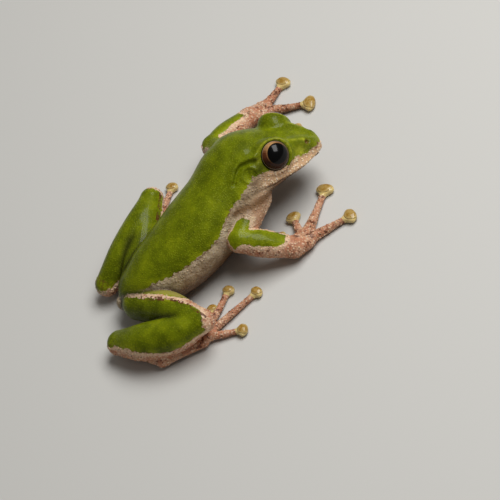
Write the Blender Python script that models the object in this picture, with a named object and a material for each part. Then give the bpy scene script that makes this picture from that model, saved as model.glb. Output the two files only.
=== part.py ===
"""A small green tree frog, life size, sitting with its head turned to its right.

The frog is one rounded form, described by the distance from any point to its skin. Each part of
the body is a chain of stations, and a station is a place with a half width and a half height.
Neighbouring parts run into one another where they are joined and keep a crease where they only
touch. The form is then parted at the neck, the joints and the roots of the digits, and each part
becomes one closed mesh.

Lengths are in millimetres up to the point where a mesh is made, which is in metres. The frog
faces +X, its left side is +Y, and it rests on the floor at z = 0. The origin lies under its
belly.
"""

import itertools
import math

import bmesh
import bpy
import numpy as np

MM = 0.001

# The gap that parts the nodes, how far from its skin a part is still measured when parts blend, and
# how many rows of a curve's table lie between two of its stations
NODE_GAP = 0.3
FAR = 3.0
ROWS_A_SPAN = 16

# The eyes: half their height, their shape for that height, and half the angle the lids leave open
EYE_RADIUS = 1.95
EYE_OVAL = np.array((0.95, 1, 1))
LID_OPENING = math.radians(66)

# The trunk, from the vent to the neck: x, y, z, half width, half height
TRUNK = (
    (-6.9, 0.2, 2.6, 1.1, 1.0),
    (-5.3, 0.1, 3.0, 2.6, 2.2),
    (-2.6, -0.3, 3.3, 3.9, 3.4),
    (1.5, -0.5, 3.8, 4.9, 4.05),
    (5.8, -0.3, 4.7, 5.2, 4.25),
    (10.2, 0.3, 5.8, 4.8, 4.0),
    (13.8, 0.9, 7.0, 4.1, 3.3),
)
TRUNK_ROLL = math.radians(-6)

# The head has its own frame between the eyes: x to the snout, y to the left, z to the crown
HEAD_CENTRE = (18.65, 0.37, 7.38)
HEAD_TURN = math.radians(-28.5)
HEAD_NOD = math.radians(-12)
HEAD_TILT = math.radians(-17.5)
HEAD = (
    (-6.0, -1.3, -2.1, 3.4, 2.8),
    (-4.0, -0.3, -1.8, 4.4, 3.05),
    (-1.0, 0.0, -1.7, 4.35, 3.0),
    (1.8, 0.0, -1.45, 3.35, 2.4),
    (3.4, 0.0, -1.35, 2.2, 1.7),
    (4.05, 0.0, -1.35, 1.4, 1.2),
)

# The ridge from each eye to its nostril, with half widths and half heights, and the roll of the lips
RIDGE = ((1.6, 2.0, 0.35, 0.75, 0.7), (3.95, 0.85, -0.55, 0.6, 0.55))
LIP_LINE = ((4.2, 0.0, -1.9), (3.75, 1.5, -2.05), (2.0, 3.1, -2.3), (-1.0, 4.3, -2.5), (-4.0, 4.7, -2.75))
LIP_RADIUS = 0.5
MOUTH_FRONT = -2.1
MOUTH_DROP = 1.0

# The left eye with its lids, the left nostril and eardrum, the fold behind the eye and the crease below it
EYE = (-0.13, 3.2, 0)
LID_RADIUS = 2.17
LID_SHIFT = (0.12, 0, 0.03)
LID_FILLET = 0.4
EYE_AXIS = (0.22, 0.88, 0.42)
NOSTRIL = (3.72, 1.43, -0.05)
EARDRUM = (-3.2, 5.4, -0.75)
EARDRUM_RADIUS = 0.92
FOLD = ((-1.9, 4.55, 1.0), (-2.9, 4.4, 0.9), (-4.2, 4.45, 0.65), (-4.9, 5.0, 0.15), (-5.35, 5.75, -0.85))
CREASE = ((-1.88, 4.68, 0.55), (-3.0, 4.53, 0.44), (-4.15, 4.62, 0.17), (-4.75, 5.1, -0.35), (-5.2, 5.88, -1.24))

# How far each relief of the head stands out or goes in, and half its breadth
NOSTRIL_RIM = (0.16, 0.62)
NOSTRIL_PIT = (0.6, 0.28)
FOLD_RELIEF = (0.25, 0.4)
CREASE_RELIEF = (0.34, 0.28)
EARDRUM_RIM = (0.14, 0.2)
MOUTH_GROOVE = (0.36, 0.2)
LIP_EDGE = (0.08, 0.25)

# Corners of the space that the head's mesh is made in
HEAD_BOX = ((-7.5, -5.6, -4.8), (6.5, 5.6, 3.2))

# Joints of the limbs, from the body outwards, and the tips of the digits, first to last. The bows
# are how far a calf stands out from the body and rises, and a thigh stands forwards, from its joints.
ARMS = {
    "right": {
        "shoulder": (12.0, -3.2, 5.2),
        "elbow": (7.8, -6.1, 4.8),
        "wrist": (12.2, -9.4, 1.6),
        "palm": (13.6, -9.0, 0.95),
        "tips": ((12.1, -5.7), (14.8, -4.4), (19.9, -4.2), (19.8, -10.2)),
    },
    "left": {
        "shoulder": (13.7, 4.6, 5.2),
        "elbow": (13.5, 10.1, 3.7),
        "wrist": (19.5, 12.3, 1.6),
        "palm": (20.9, 12.5, 0.95),
        "tips": ((20.6, 9.3), (22.6, 6.6), (26.2, 8.7), (25.8, 14.6)),
    },
}
LEGS = {
    "right": {
        "hip": (-5.6, -2.2, 2.8),
        "knee": (-1.7, -11.4, 3.9),
        "heel": (-10.5, -3.7, 1.9),
        "ankle": (-7.7, -9.2, 1.0),
        "sole": (-2.7, -10.7, 0.9),
        "tips": ((-1.1, -6.9), (0.4, -7.7), (3.3, -7.0), (5.6, -10.1), (1.4, -13.4)),
        "calf_bow": 0.9,
        "calf_rise": 0.0,
        "thigh_bow": 0.4,
    },
    "left": {
        "hip": (-4.2, 1.5, 2.7),
        "knee": (3.6, 9.5, 3.9),
        "heel": (-7.1, 5.1, 1.9),
        "ankle": (-2.6, 9.4, 1.0),
        "sole": (2.6, 9.2, 0.9),
        "tips": ((4.6, 5.4), (6.1, 6.0), (8.7, 5.9), (10.9, 8.4), (6.8, 12.6)),
        "calf_bow": -0.9,
        "calf_rise": 0.4,
        "thigh_bow": 0.0,
    },
}
# Half widths and half heights along an arm and a leg
ARM_SIZES = {"root": (1.9, 1.9), "upper_arm": (1.6, 1.65), "elbow": (1.35, 1.4), "forearm": (1.65, 1.65),
             "wrist": (1.3, 1.15), "palm": (1.5, 0.92), "knuckles": (1.35, 0.65)}
LEG_SIZES = {"root": (1.9, 2.0), "thigh": (2.1, 2.2), "above_knee": (1.85, 1.95), "knee": (1.4, 1.45),
             "calf": (2.15, 2.15), "low_calf": (2.3, 2.2), "heel": (1.55, 1.4), "tarsus_root": (1.1, 1.15),
             "tarsus": (1.15, 1.1), "ankle": (1.15, 0.95), "instep": (1.2, 0.8), "sole": (1.4, 0.7)}

# Radii of the discs at the tips of the digits, first to last, the height of their middles above the
# floor and half their thickness. The thickness is more than the height, which makes the flats.
FINGER_DISCS = (0.75, 0.96, 1.17, 1.08)
TOE_DISCS = (0.62, 0.72, 0.82, 0.87, 0.86)
DISC_HEIGHT = 0.46
DISC_THICKNESS = 0.53

# Radii of the digits: the root of a finger as a share of its disc, the root of a toe, and their necks
FINGER_ROOT_SHARE = 0.66
TOE_ROOT_RADIUS = 0.52
FINGER_NECK = 0.42
TOE_NECK = 0.38

# How far from the middle of a palm or a sole its digits are parted from it
FINGER_ROOT = 1.5
TOE_ROOT = 1.4

# Fillets where parts join: the crease away from the joint, the fillet at it, and how far that spreads
NECK_FILLET = 2.6
SHOULDER = (0.15, 1.6, 2.6)
ELBOW = (0.15, 0.8, 1.5)
WRIST = (0.15, 0.6, 1.6)
KNUCKLES = (0.12, 0.75, 2.0)
HIP = (0.15, 1.3, 2.5)
KNEE = (0.12, 0.6, 1.5)
HEEL = (0.12, 0.7, 1.5)
ANKLE = (0.12, 0.6, 1.5)
TOE_WEBS = (0.12, 0.7, 1.9)

# Triangles of each node once it has been thinned, and the grid step its mesh is made on
BUDGET = {
    "torso": (1800, 0.4),
    "head": (4400, 0.16),
    "thigh": (380, 0.26),
    "shank": (380, 0.26),
    "tarsus": (240, 0.2),
    "foot": (300, 0.17),
    "toe": (180, 0.13),
    "upper_arm": (240, 0.22),
    "forearm": (300, 0.22),
    "hand": (320, 0.17),
    "finger": (200, 0.13),
}


def unit(vector):
    vector = np.asarray(vector, dtype=float)
    return vector / np.linalg.norm(vector)


def head_axes():
    """The head's forward, left and up directions, as the columns of a matrix."""
    cos_turn, sin_turn = math.cos(HEAD_TURN), math.sin(HEAD_TURN)
    cos_nod, sin_nod = math.cos(HEAD_NOD), math.sin(HEAD_NOD)
    cos_tilt, sin_tilt = math.cos(HEAD_TILT), math.sin(HEAD_TILT)
    turn = np.array([[cos_turn, -sin_turn, 0], [sin_turn, cos_turn, 0], [0, 0, 1]])
    nod = np.array([[cos_nod, 0, -sin_nod], [0, 1, 0], [sin_nod, 0, cos_nod]])
    tilt = np.array([[1, 0, 0], [0, cos_tilt, -sin_tilt], [0, sin_tilt, cos_tilt]])
    return turn @ nod @ tilt


HEAD_AXES = head_axes()

# The cut that parts the head from the torso, behind the jaw
NECK = np.array(HEAD_CENTRE) + HEAD_AXES @ np.array((-5.7, 0, 0))
NECK_AXIS = unit((0.88, -0.4, -0.2))


def in_head(points):
    return (points - np.array(HEAD_CENTRE)) @ HEAD_AXES


class Chain:
    """A smooth curve through oval stations: places with a half width and a half height."""

    def __init__(self, stations, up=(0, 0, 1)):
        knots = np.array(stations, dtype=float)
        ends = np.vstack([2 * knots[0] - knots[1], knots, 2 * knots[-1] - knots[-2]])
        t = np.arange(0, 1, 1 / ROWS_A_SPAN)[:, None]
        rows = [0.5 * (2 * start + (end - before) * t
                       + (2 * before - 5 * start + 4 * end - after) * t ** 2
                       + (3 * start - before - 3 * end + after) * t ** 3)
                for before, start, end, after in zip(ends, ends[1:], ends[2:], ends[3:])]
        self.rows = np.vstack(rows + [knots[-1:]])
        along = np.gradient(self.rows[:, :3], axis=0)
        pace = np.linalg.norm(along, axis=1)[:, None]
        along = along / pace
        side = np.cross(up, along)
        side /= np.linalg.norm(side, axis=1)[:, None]
        self.table = np.hstack([self.rows[:, :3], along, pace, self.rows[:, 3:], side, np.cross(along, side)])
        self.chord = unit(knots[-1, :3] - knots[0, :3])
        self.reach = FAR + self.rows[:, 3:].max()

    def at(self, steps, columns):
        """Columns of the table at places between its rows."""
        low = np.minimum(steps.astype(int), len(self.table) - 2)
        share = (steps - low)[:, None]
        return self.table[low, :columns] * (1 - share) + self.table[low + 1, :columns] * share

    def foot(self, points):
        """How many rows along the curve each point's nearest place is."""
        passed = np.maximum.accumulate(self.rows[:, :3] @ self.chord)
        steps = np.interp(points @ self.chord, passed, np.arange(len(passed)))
        for _ in range(3):
            here = self.at(steps, 7)
            ahead = np.sum((points - here[:, :3]) * here[:, 3:6], axis=1)
            steps = np.clip(steps + ahead / here[:, 6], 0, len(passed) - 1)
        return steps

    def offsets(self, points):
        """Each point's offsets forwards, left and up from its foot, and the half sizes there."""
        steps = self.foot(points)
        here = self.at(steps, 15)
        offset = points - here[:, :3]
        turned = [np.sum(offset * here[:, k:k + 3], axis=1) for k in (3, 9, 12)]
        return *turned, here[:, 7], here[:, 8]

    def distance(self, points):
        """Distance from the points to the skin of the chain, up to FAR from it."""
        nearest = np.full(len(points), FAR)
        low, high = self.rows[:, :3].min(axis=0) - self.reach, self.rows[:, :3].max(axis=0) + self.reach
        near = np.nonzero(np.all((points > low) & (points < high), axis=1))[0]
        if not len(near):
            return nearest
        beyond, across, upwards, half_width, half_height = self.offsets(points[near])
        across, upwards, beyond = across / half_width, upwards / half_height, beyond / half_height
        ratio = np.sqrt(across ** 2 + upwards ** 2 + beyond ** 2)
        slope = np.sqrt((across / half_width) ** 2 + (upwards / half_height) ** 2
                        + (beyond / half_height) ** 2)
        inner = -np.minimum(half_width, half_height)
        distance = np.where(ratio < 0.02, inner, ratio * (ratio - 1) / np.maximum(slope, 1e-4))
        nearest[near] = np.minimum(distance, FAR)
        return nearest


def merge(first, second, blend):
    """Union of two distances with a fillet as wide as the blend."""
    overlap = np.maximum(blend - np.abs(first - second), 0)
    return np.minimum(first, second) - overlap ** 2 / (4 * blend)


def merge_at(points, first, second, joint, fillets):
    """Union with a wide fillet round a joint and a tight crease away from it."""
    crease, fillet, spread = fillets
    away = np.sum((points - np.array(joint)) ** 2, axis=1) / spread ** 2
    return merge(first, second, crease + (fillet - crease) * np.exp(-away))


def carve(distance, cutter, blend):
    """Cut a form out of another, with a rounded edge."""
    return -merge(-distance, cutter, blend)


def line_distance(points, route):
    """Distance to a route of straight steps from place to place."""
    nearest = np.full(len(points), np.inf)
    for start, end in zip(route, route[1:]):
        start, end = np.array(start, dtype=float), np.array(end, dtype=float)
        step = end - start
        travelled = np.clip((points - start) @ step / (step @ step), 0, 1)
        away = np.linalg.norm(points - start - np.outer(travelled, step), axis=1)
        nearest = np.minimum(nearest, away)
    return nearest


def mirrored(place, side):
    """A place on the head's left, or its mirror image on the right."""
    return (place[0], place[1] if side == "left" else -place[1], place[2])


TRUNK_CHAIN = Chain(TRUNK, (0, -math.sin(TRUNK_ROLL), math.cos(TRUNK_ROLL)))
HEAD_CHAIN = Chain(HEAD)
RIDGES = {side: Chain([mirrored(knot, side) + knot[3:] for knot in RIDGE]) for side in ("right", "left")}
LIPS = {side: Chain([mirrored(knot, side) + (LIP_RADIUS, LIP_RADIUS) for knot in LIP_LINE])
        for side in ("right", "left")}


def mouth_height(places):
    """Height of the mouth line in the head's frame, lower towards the corners of the jaw."""
    back = np.clip((4.8 - places[:, 0]) / 9, 0.01, 1.2)
    return MOUTH_FRONT - MOUTH_DROP * back ** 0.6


def relief(away, sizes):
    """A ridge by the distance from its middle: its height at the middle, fading over its half breadth."""
    height, breadth = sizes
    return height * np.exp(-(away / breadth) ** 2)


def folds_and_drums(points):
    """How far the folds behind the eyes and the rims of the eardrums stand out, creases below 0."""
    places = in_head(points)
    raised = np.zeros(len(points))
    for side in ("right", "left"):
        fold = [mirrored(place, side) for place in FOLD]
        crease = [mirrored(place, side) for place in CREASE]
        rim = np.linalg.norm(places - np.array(mirrored(EARDRUM, side)), axis=1) - EARDRUM_RADIUS
        raised += relief(line_distance(places, fold), FOLD_RELIEF)
        raised -= relief(line_distance(places, crease), CREASE_RELIEF)
        raised += relief(rim, EARDRUM_RIM)
    return raised


def head_distance(points):
    """The head with its snout, lips, lids, nostrils and mouth line."""
    places = in_head(points)
    distance = HEAD_CHAIN.distance(places)
    for side in ("right", "left"):
        distance = merge(distance, RIDGES[side].distance(places), 0.9)
        distance = merge(distance, LIPS[side].distance(places), 0.7)
        lid = (np.linalg.norm(from_eye(places - LID_SHIFT, side), axis=1) - LID_RADIUS) * EYE_OVAL[0] ** 0.5
        distance = merge(distance, lid, LID_FILLET)
        away = np.linalg.norm(places - np.array(mirrored(NOSTRIL, side)), axis=1)
        distance = distance - relief(away, NOSTRIL_RIM) + relief(away, NOSTRIL_PIT)
    below = places[:, 2] - mouth_height(places)
    in_mouth = 1 / (1 + np.exp((-4.7 - places[:, 0]) / 0.2))
    return distance + (relief(below, MOUTH_GROOVE) - relief(below - 0.4, LIP_EDGE)) * in_mouth


def from_eye(places, side):
    """Offsets from the middle of an eye, stretched so that the oval eye becomes a round one."""
    return (places - np.array(mirrored(EYE, side))) / EYE_OVAL


def eye_cone(points, side, widen=0.0):
    """Distance to the oval cone of a lid opening, whose tip is at the middle of the eye."""
    offset = from_eye(in_head(points), side)
    axis = unit(mirrored(EYE_AXIS, side))
    along = offset @ axis
    across = np.linalg.norm(offset - np.outer(along, axis), axis=1)
    return across * math.cos(LID_OPENING) - along * math.sin(LID_OPENING) - widen, along


def stations(places, sizes, names):
    """The named places of a limb, each with its half width and half height."""
    return [(*places[name], *sizes[name]) for name in names]


def arm_chains(arm):
    """Stations of the upper arm, forearm, hand and four fingers."""
    shoulder, elbow, wrist, palm = (np.array(arm[k]) for k in ("shoulder", "elbow", "wrist", "palm"))
    places = {
        "root": shoulder + 0.12 * (shoulder - elbow),
        "upper_arm": 0.5 * (shoulder + elbow),
        "elbow": elbow,
        "forearm": elbow + 0.4 * (wrist - elbow),
        "wrist": wrist,
        "palm": palm,
        "knuckles": palm + 0.8 * unit((palm - wrist) * (1, 1, 0)),
    }
    chains = {
        "upper_arm": stations(places, ARM_SIZES, ("root", "upper_arm", "elbow")),
        "forearm": stations(places, ARM_SIZES, ("elbow", "forearm", "wrist")),
        "hand": stations(places, ARM_SIZES, ("wrist", "palm", "knuckles")),
    }
    for number, (tip, disc) in enumerate(zip(arm["tips"], FINGER_DISCS), start=1):
        tip = np.array((*tip, DISC_HEIGHT))
        reach = unit((tip - palm) * (1, 1, 0))
        start = palm + 1.0 * reach - (0, 0, 0.2)
        chains[f"finger_{number}"] = digit(start, tip, FINGER_ROOT_SHARE * disc, FINGER_NECK, disc)
    return chains


def digit(start, tip, root, neck, disc):
    """A digit that tapers to its neck, with a joint pad and a flat round disc at its tip."""
    reach = unit((tip - start) * (1, 1, 0))
    collar = tip - reach * disc * 0.95
    pad = start + 0.55 * (collar - start)
    waist = start + 0.75 * (collar - start)
    return [(*start, root, root), (*(start + 0.3 * (pad - start)), root * 0.9, root * 0.9),
            (*pad, neck * 1.12, neck * 1.12), (*waist, neck, neck), (*collar, neck, neck),
            (*(tip - reach * disc * 0.35), disc * 0.93, DISC_THICKNESS), (*tip, disc, DISC_THICKNESS),
            (*(tip + reach * disc * 0.12), disc * 0.9, 0.93 * DISC_THICKNESS)]


def leg_chains(leg):
    """Stations of the thigh, shank, tarsus, foot and five toes."""
    hip, knee, heel, ankle, sole = (np.array(leg[k]) for k in ("hip", "knee", "heel", "ankle", "sole"))
    bow = np.sign(-hip[1]) * leg["calf_bow"] * unit(np.cross((0, 0, 1), heel - knee))
    bow = bow + (0, 0, leg["calf_rise"])
    forwards = np.sign(-hip[1]) * leg["thigh_bow"] * unit(np.cross((0, 0, 1), knee - hip))
    places = {
        "root": hip + 0.05 * (hip - knee),
        "thigh": hip + 0.4 * (knee - hip) + forwards,
        "above_knee": hip + 0.75 * (knee - hip),
        "knee": knee,
        "calf": knee + 0.3 * (heel - knee) + bow,
        "low_calf": knee + 0.66 * (heel - knee) + bow,
        "heel": heel,
        "tarsus_root": heel,
        "tarsus": 0.5 * (heel + ankle),
        "ankle": ankle,
        "instep": 0.5 * (ankle + sole),
        "sole": sole,
    }
    chains = {
        "thigh": stations(places, LEG_SIZES, ("root", "thigh", "above_knee", "knee")),
        "shank": stations(places, LEG_SIZES, ("knee", "calf", "low_calf", "heel")),
        "tarsus": stations(places, LEG_SIZES, ("tarsus_root", "tarsus", "ankle")),
        "foot": stations(places, LEG_SIZES, ("ankle", "instep", "sole")),
    }
    for number, (tip, disc) in enumerate(zip(leg["tips"], TOE_DISCS), start=1):
        tip = np.array((*tip, DISC_HEIGHT))
        reach = unit((tip - sole) * (1, 1, 0))
        start = sole + 1.0 * reach - (0, 0, 0.2)
        chains[f"toe_{number}"] = digit(start, tip, TOE_ROOT_RADIUS, TOE_NECK, disc)
    return chains


LIMBS = {}
for flank, arm in ARMS.items():
    LIMBS[flank, "arm"] = {name: Chain(knots) for name, knots in arm_chains(arm).items()}
for flank, leg in LEGS.items():
    LIMBS[flank, "leg"] = {name: Chain(knots) for name, knots in leg_chains(leg).items()}


def part_distances(points):
    """Distance to each part of the body on its own, by node name."""
    distances = {"torso": TRUNK_CHAIN.distance(points), "head": head_distance(points)}
    for (flank, limb), chains in LIMBS.items():
        for name, chain in chains.items():
            distances[f"{name}_{flank}"] = chain.distance(points)
    return distances


def skin_distance(points, parts):
    """Distance to the skin of the whole frog, cut off flat at the floor."""
    skin = merge(parts["torso"], parts["head"], NECK_FILLET) - folds_and_drums(points)
    for flank in ("right", "left"):
        arm, leg = ARMS[flank], LEGS[flank]
        limb = merge_at(points, parts[f"upper_arm_{flank}"], parts[f"forearm_{flank}"],
                        arm["elbow"], ELBOW)
        limb = merge_at(points, limb, parts[f"hand_{flank}"], arm["wrist"], WRIST)
        for number in (1, 2, 3, 4):
            limb = merge_at(points, limb, parts[f"finger_{number}_{flank}"], arm["palm"], KNUCKLES)
        skin = merge_at(points, skin, limb, arm["shoulder"], SHOULDER)
        limb = merge_at(points, parts[f"thigh_{flank}"], parts[f"shank_{flank}"], leg["knee"], KNEE)
        limb = merge_at(points, limb, parts[f"tarsus_{flank}"], leg["heel"], HEEL)
        limb = merge_at(points, limb, parts[f"foot_{flank}"], leg["ankle"], ANKLE)
        for number in (1, 2, 3, 4, 5):
            limb = merge_at(points, limb, parts[f"toe_{number}_{flank}"], leg["sole"], TOE_WEBS)
        skin = merge_at(points, skin, limb, leg["hip"], HIP)
    return np.maximum(skin, -points[:, 2])


def joint_planes():
    """Planes that part jointed nodes: the inner and outer node, a point and the way outwards."""
    planes = [("torso", "head", NECK, NECK_AXIS)]
    for flank in ("right", "left"):
        arm, leg = ARMS[flank], LEGS[flank]
        for places, names in ((arm, (("upper_arm", "forearm", "shoulder", "elbow", "wrist"),
                                     ("forearm", "hand", "elbow", "wrist", "palm"))),
                              (leg, (("thigh", "shank", "hip", "knee", "heel"),
                                     ("shank", "tarsus", "knee", "heel", "ankle"),
                                     ("tarsus", "foot", "heel", "ankle", "sole")))):
            for inner, outer, before, joint, after in names:
                middle = np.array(places[joint])
                across = unit(unit(np.array(places[after]) - middle)
                              - unit(np.array(places[before]) - middle))
                planes.append((f"{inner}_{flank}", f"{outer}_{flank}", middle, across))
        for inner, outer, middle, tips, root in (("hand", "finger", arm["palm"], arm["tips"], FINGER_ROOT),
                                                 ("foot", "toe", leg["sole"], leg["tips"], TOE_ROOT)):
            for number, tip in enumerate(tips, start=1):
                reach = unit((tip[0] - middle[0], tip[1] - middle[1], 0))
                planes.append((f"{inner}_{flank}", f"{outer}_{number}_{flank}",
                               np.array(middle) + root * reach, reach))
    return planes


PLANES = joint_planes()


def node_distance(points, node):
    """Distance to one node: the skin, parted half a gap from each of its neighbours."""
    parts = part_distances(points)
    distance = skin_distance(points, parts)
    core = np.minimum(parts["torso"], parts["head"])
    parts["torso"] = parts["head"] = core
    jointed = {node}
    for inner, outer, middle, outwards in PLANES:
        if node in (inner, outer):
            beyond = (points - middle) @ outwards
            distance = np.maximum(distance, (beyond if node == inner else -beyond) + NODE_GAP / 2)
            jointed.update((inner, outer))
    for other, away in parts.items():
        if other not in jointed:
            distance = np.maximum(distance, (parts[node] - away + NODE_GAP) / 2)
    if node == "head":
        for side in ("right", "left"):
            cone, along = eye_cone(points, side, NODE_GAP)
            distance = carve(distance, np.maximum(cone, NODE_GAP - along), 0.12)
    return distance


def node_box(node):
    """The corners of the space that a node's mesh is made in."""
    if node == "torso":
        rows = TRUNK_CHAIN.rows
    elif node == "head":
        corners = np.array(list(itertools.product(*zip(*HEAD_BOX))))
        world = np.array(HEAD_CENTRE) + corners @ HEAD_AXES.T
        return world.min(axis=0), world.max(axis=0)
    else:
        name, flank = node.rsplit("_", 1)
        chains = {**LIMBS[flank, "arm"], **LIMBS[flank, "leg"]}
        rows = chains[name].rows
    reach = rows[:, 3:].max(axis=1)[:, None] + 0.8
    return (rows[:, :3] - reach).min(axis=0), (rows[:, :3] + reach).max(axis=0)


def settle_corners(inside):
    """Turn off a corner wherever inside corners touch only across a face or a cube."""
    while True:
        changed = False
        for one, two in ((0, 1), (0, 2), (1, 2)):
            a = inside[tuple(slice(None, -1) if axis in (one, two) else slice(None) for axis in range(3))]
            b = inside[tuple(slice(1, None) if axis == one else slice(None, -1) if axis == two
                             else slice(None) for axis in range(3))]
            c = inside[tuple(slice(None, -1) if axis == one else slice(1, None) if axis == two
                             else slice(None) for axis in range(3))]
            d = inside[tuple(slice(1, None) if axis in (one, two) else slice(None) for axis in range(3))]
            crossed = a & d & ~b & ~c
            if crossed.any():
                a[crossed] = False
                changed = True
            crossed = b & c & ~a & ~d
            if crossed.any():
                b[crossed] = False
                changed = True
        if not changed:
            return inside


def values_near_skin(field, axes, step, block=4):
    """Values of a field on a grid, worked out point by point only in blocks near its surface."""
    middles = [axis[::block] + step * (block - 1) / 2 for axis in axes]
    coarse = np.stack(np.meshgrid(*middles, indexing="ij"), axis=-1)
    rough = field(coarse.reshape(-1, 3)).reshape(coarse.shape[:3])
    values = rough
    for axis in range(3):
        values = np.repeat(values, block, axis=axis)
    values = values[:len(axes[0]), :len(axes[1]), :len(axes[2])].copy()
    near = np.argwhere(np.abs(values) < 1.6 * step * block * math.sqrt(3) / 2)
    points = np.stack([axes[axis][near[:, axis]] for axis in range(3)], axis=1)
    values[tuple(near.T)] = field(points)
    return values


def surface_mesh(name, field, low, high, step):
    """One vertex in each grid cell that the surface crosses, and a quad across each crossed edge."""
    low = np.array(low)
    low[2] = -1.5 * step
    counts = np.ceil((np.array(high) - low) / step).astype(int) + 2
    axes = [low[axis] + step * np.arange(counts[axis]) for axis in range(3)]
    values = values_near_skin(field, axes, step)
    for axis in range(3):
        edge = [slice(None)] * 3
        for end in (0, -1):
            edge[axis] = end
            values[tuple(edge)] = np.maximum(values[tuple(edge)], step)
    inside = settle_corners(values < 0)
    values = np.where(inside, np.minimum(values, -1e-3 * step), np.maximum(values, 1e-3 * step))

    cells = tuple(counts - 1)
    total = np.zeros(cells + (3,))
    crossings = np.zeros(cells)
    for axis in range(3):
        first = [slice(None)] * 3
        second = [slice(None)] * 3
        first[axis] = slice(None, -1)
        second[axis] = slice(1, None)
        a, b = values[tuple(first)], values[tuple(second)]
        crossed = (a < 0) != (b < 0)
        share = np.where(crossed, a / np.where(crossed, a - b, 1), 0)
        others = [other for other in range(3) if other != axis]
        for shift_one in (0, 1):
            for shift_two in (0, 1):
                window = [slice(None)] * 3
                for other, shift in zip(others, (shift_one, shift_two)):
                    window[other] = slice(shift, counts[other] - 1 + shift)
                mask = crossed[tuple(window)]
                crossings += mask
                total[..., axis] += np.where(mask, share[tuple(window)], 0)
                total[..., others[0]] += mask * shift_one
                total[..., others[1]] += mask * shift_two
    used = crossings > 0
    numbers = np.full(cells, -1)
    numbers[used] = np.arange(used.sum())
    corner = np.argwhere(used)
    vertices = low + step * (corner + total[used] / crossings[used][:, None])

    quads = []
    for axis in range(3):
        one, two = [other for other in range(3) if other != axis]
        if axis == 1:
            one, two = two, one
        span = [slice(1, -1)] * 3
        span[axis] = slice(None, -1)
        ahead = list(span)
        ahead[axis] = slice(1, None)
        a, b = inside[tuple(span)], inside[tuple(ahead)]
        for crossed, order in ((a & ~b, (0, 1, 2, 3)), (~a & b, (0, 3, 2, 1))):
            place = np.argwhere(crossed)
            place[:, one] += 1
            place[:, two] += 1
            ring = []
            for back_one, back_two in ((1, 1), (0, 1), (0, 0), (1, 0)):
                cell = place.copy()
                cell[:, one] -= back_one
                cell[:, two] -= back_two
                ring.append(numbers[cell[:, 0], cell[:, 1], cell[:, 2]])
            quads.append(np.stack([ring[k] for k in order], axis=1))
    faces = np.concatenate(quads)
    mesh = bpy.data.meshes.new(name)
    mesh.from_pydata((vertices * MM).tolist(), [], faces.tolist())
    return mesh


def keep_largest(mesh):
    """Drop every loose scrap of a mesh and keep its largest closed surface."""
    form = bmesh.new()
    form.from_mesh(mesh)
    unseen = set(form.faces)
    shells = []
    while unseen:
        shell = [unseen.pop()]
        for face in shell:
            for edge in face.edges:
                for neighbour in edge.link_faces:
                    if neighbour in unseen:
                        unseen.remove(neighbour)
                        shell.append(neighbour)
        shells.append(shell)
    shells.sort(key=len)
    scraps = [face for shell in shells[:-1] for face in shell]
    bmesh.ops.delete(form, geom=scraps, context="FACES")
    form.to_mesh(mesh)
    form.free()


def thinned(mesh, triangles):
    """Bring a mesh down to about so many triangles and press its lowest points to the floor."""
    guide = bpy.data.objects.new(mesh.name + "_dense", mesh)
    bpy.context.scene.collection.objects.link(guide)
    collapse = guide.modifiers.new("thin", "DECIMATE")
    mesh.calc_loop_triangles()
    collapse.ratio = min(1.0, triangles / len(mesh.loop_triangles))
    collapse.use_collapse_triangulate = True
    collapsed = bpy.data.meshes.new_from_object(guide.evaluated_get(bpy.context.evaluated_depsgraph_get()))
    bpy.data.objects.remove(guide)
    for vertex in collapsed.vertices:
        if vertex.co.z < 0.03 * MM:
            vertex.co.z = 0.0
    return collapsed


def skin_material(name, colour, roughness):
    material = bpy.data.materials.new(name)
    material.use_nodes = True
    shader = material.node_tree.nodes["Principled BSDF"]
    shader.inputs["Base Color"].default_value = (*colour, 1)
    shader.inputs["Roughness"].default_value = roughness
    shader.inputs["Metallic"].default_value = 0
    return material


def body_node(node):
    """Make the mesh and the object of one fleshy node."""
    kind = node.rsplit("_", 1)[0]
    kind = kind.split("_")[0] if kind.startswith(("finger", "toe")) else kind
    triangles, step = BUDGET[kind if kind in BUDGET else node]
    low, high = node_box(node)
    dense = surface_mesh(node, lambda points: node_distance(points, node), low, high, step)
    keep_largest(dense)
    mesh = thinned(dense, triangles)
    mesh.name = node
    mesh.shade_smooth()
    colour = (0.17, 0.3, 0.03)
    if kind in ("hand", "foot", "finger", "toe", "tarsus"):
        colour = (0.5, 0.3, 0.2)
    mesh.materials.append(skin_material(node + "_skin", colour, 0.4))
    made = bpy.data.objects.new(node, mesh)
    bpy.context.scene.collection.objects.link(made)


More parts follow.
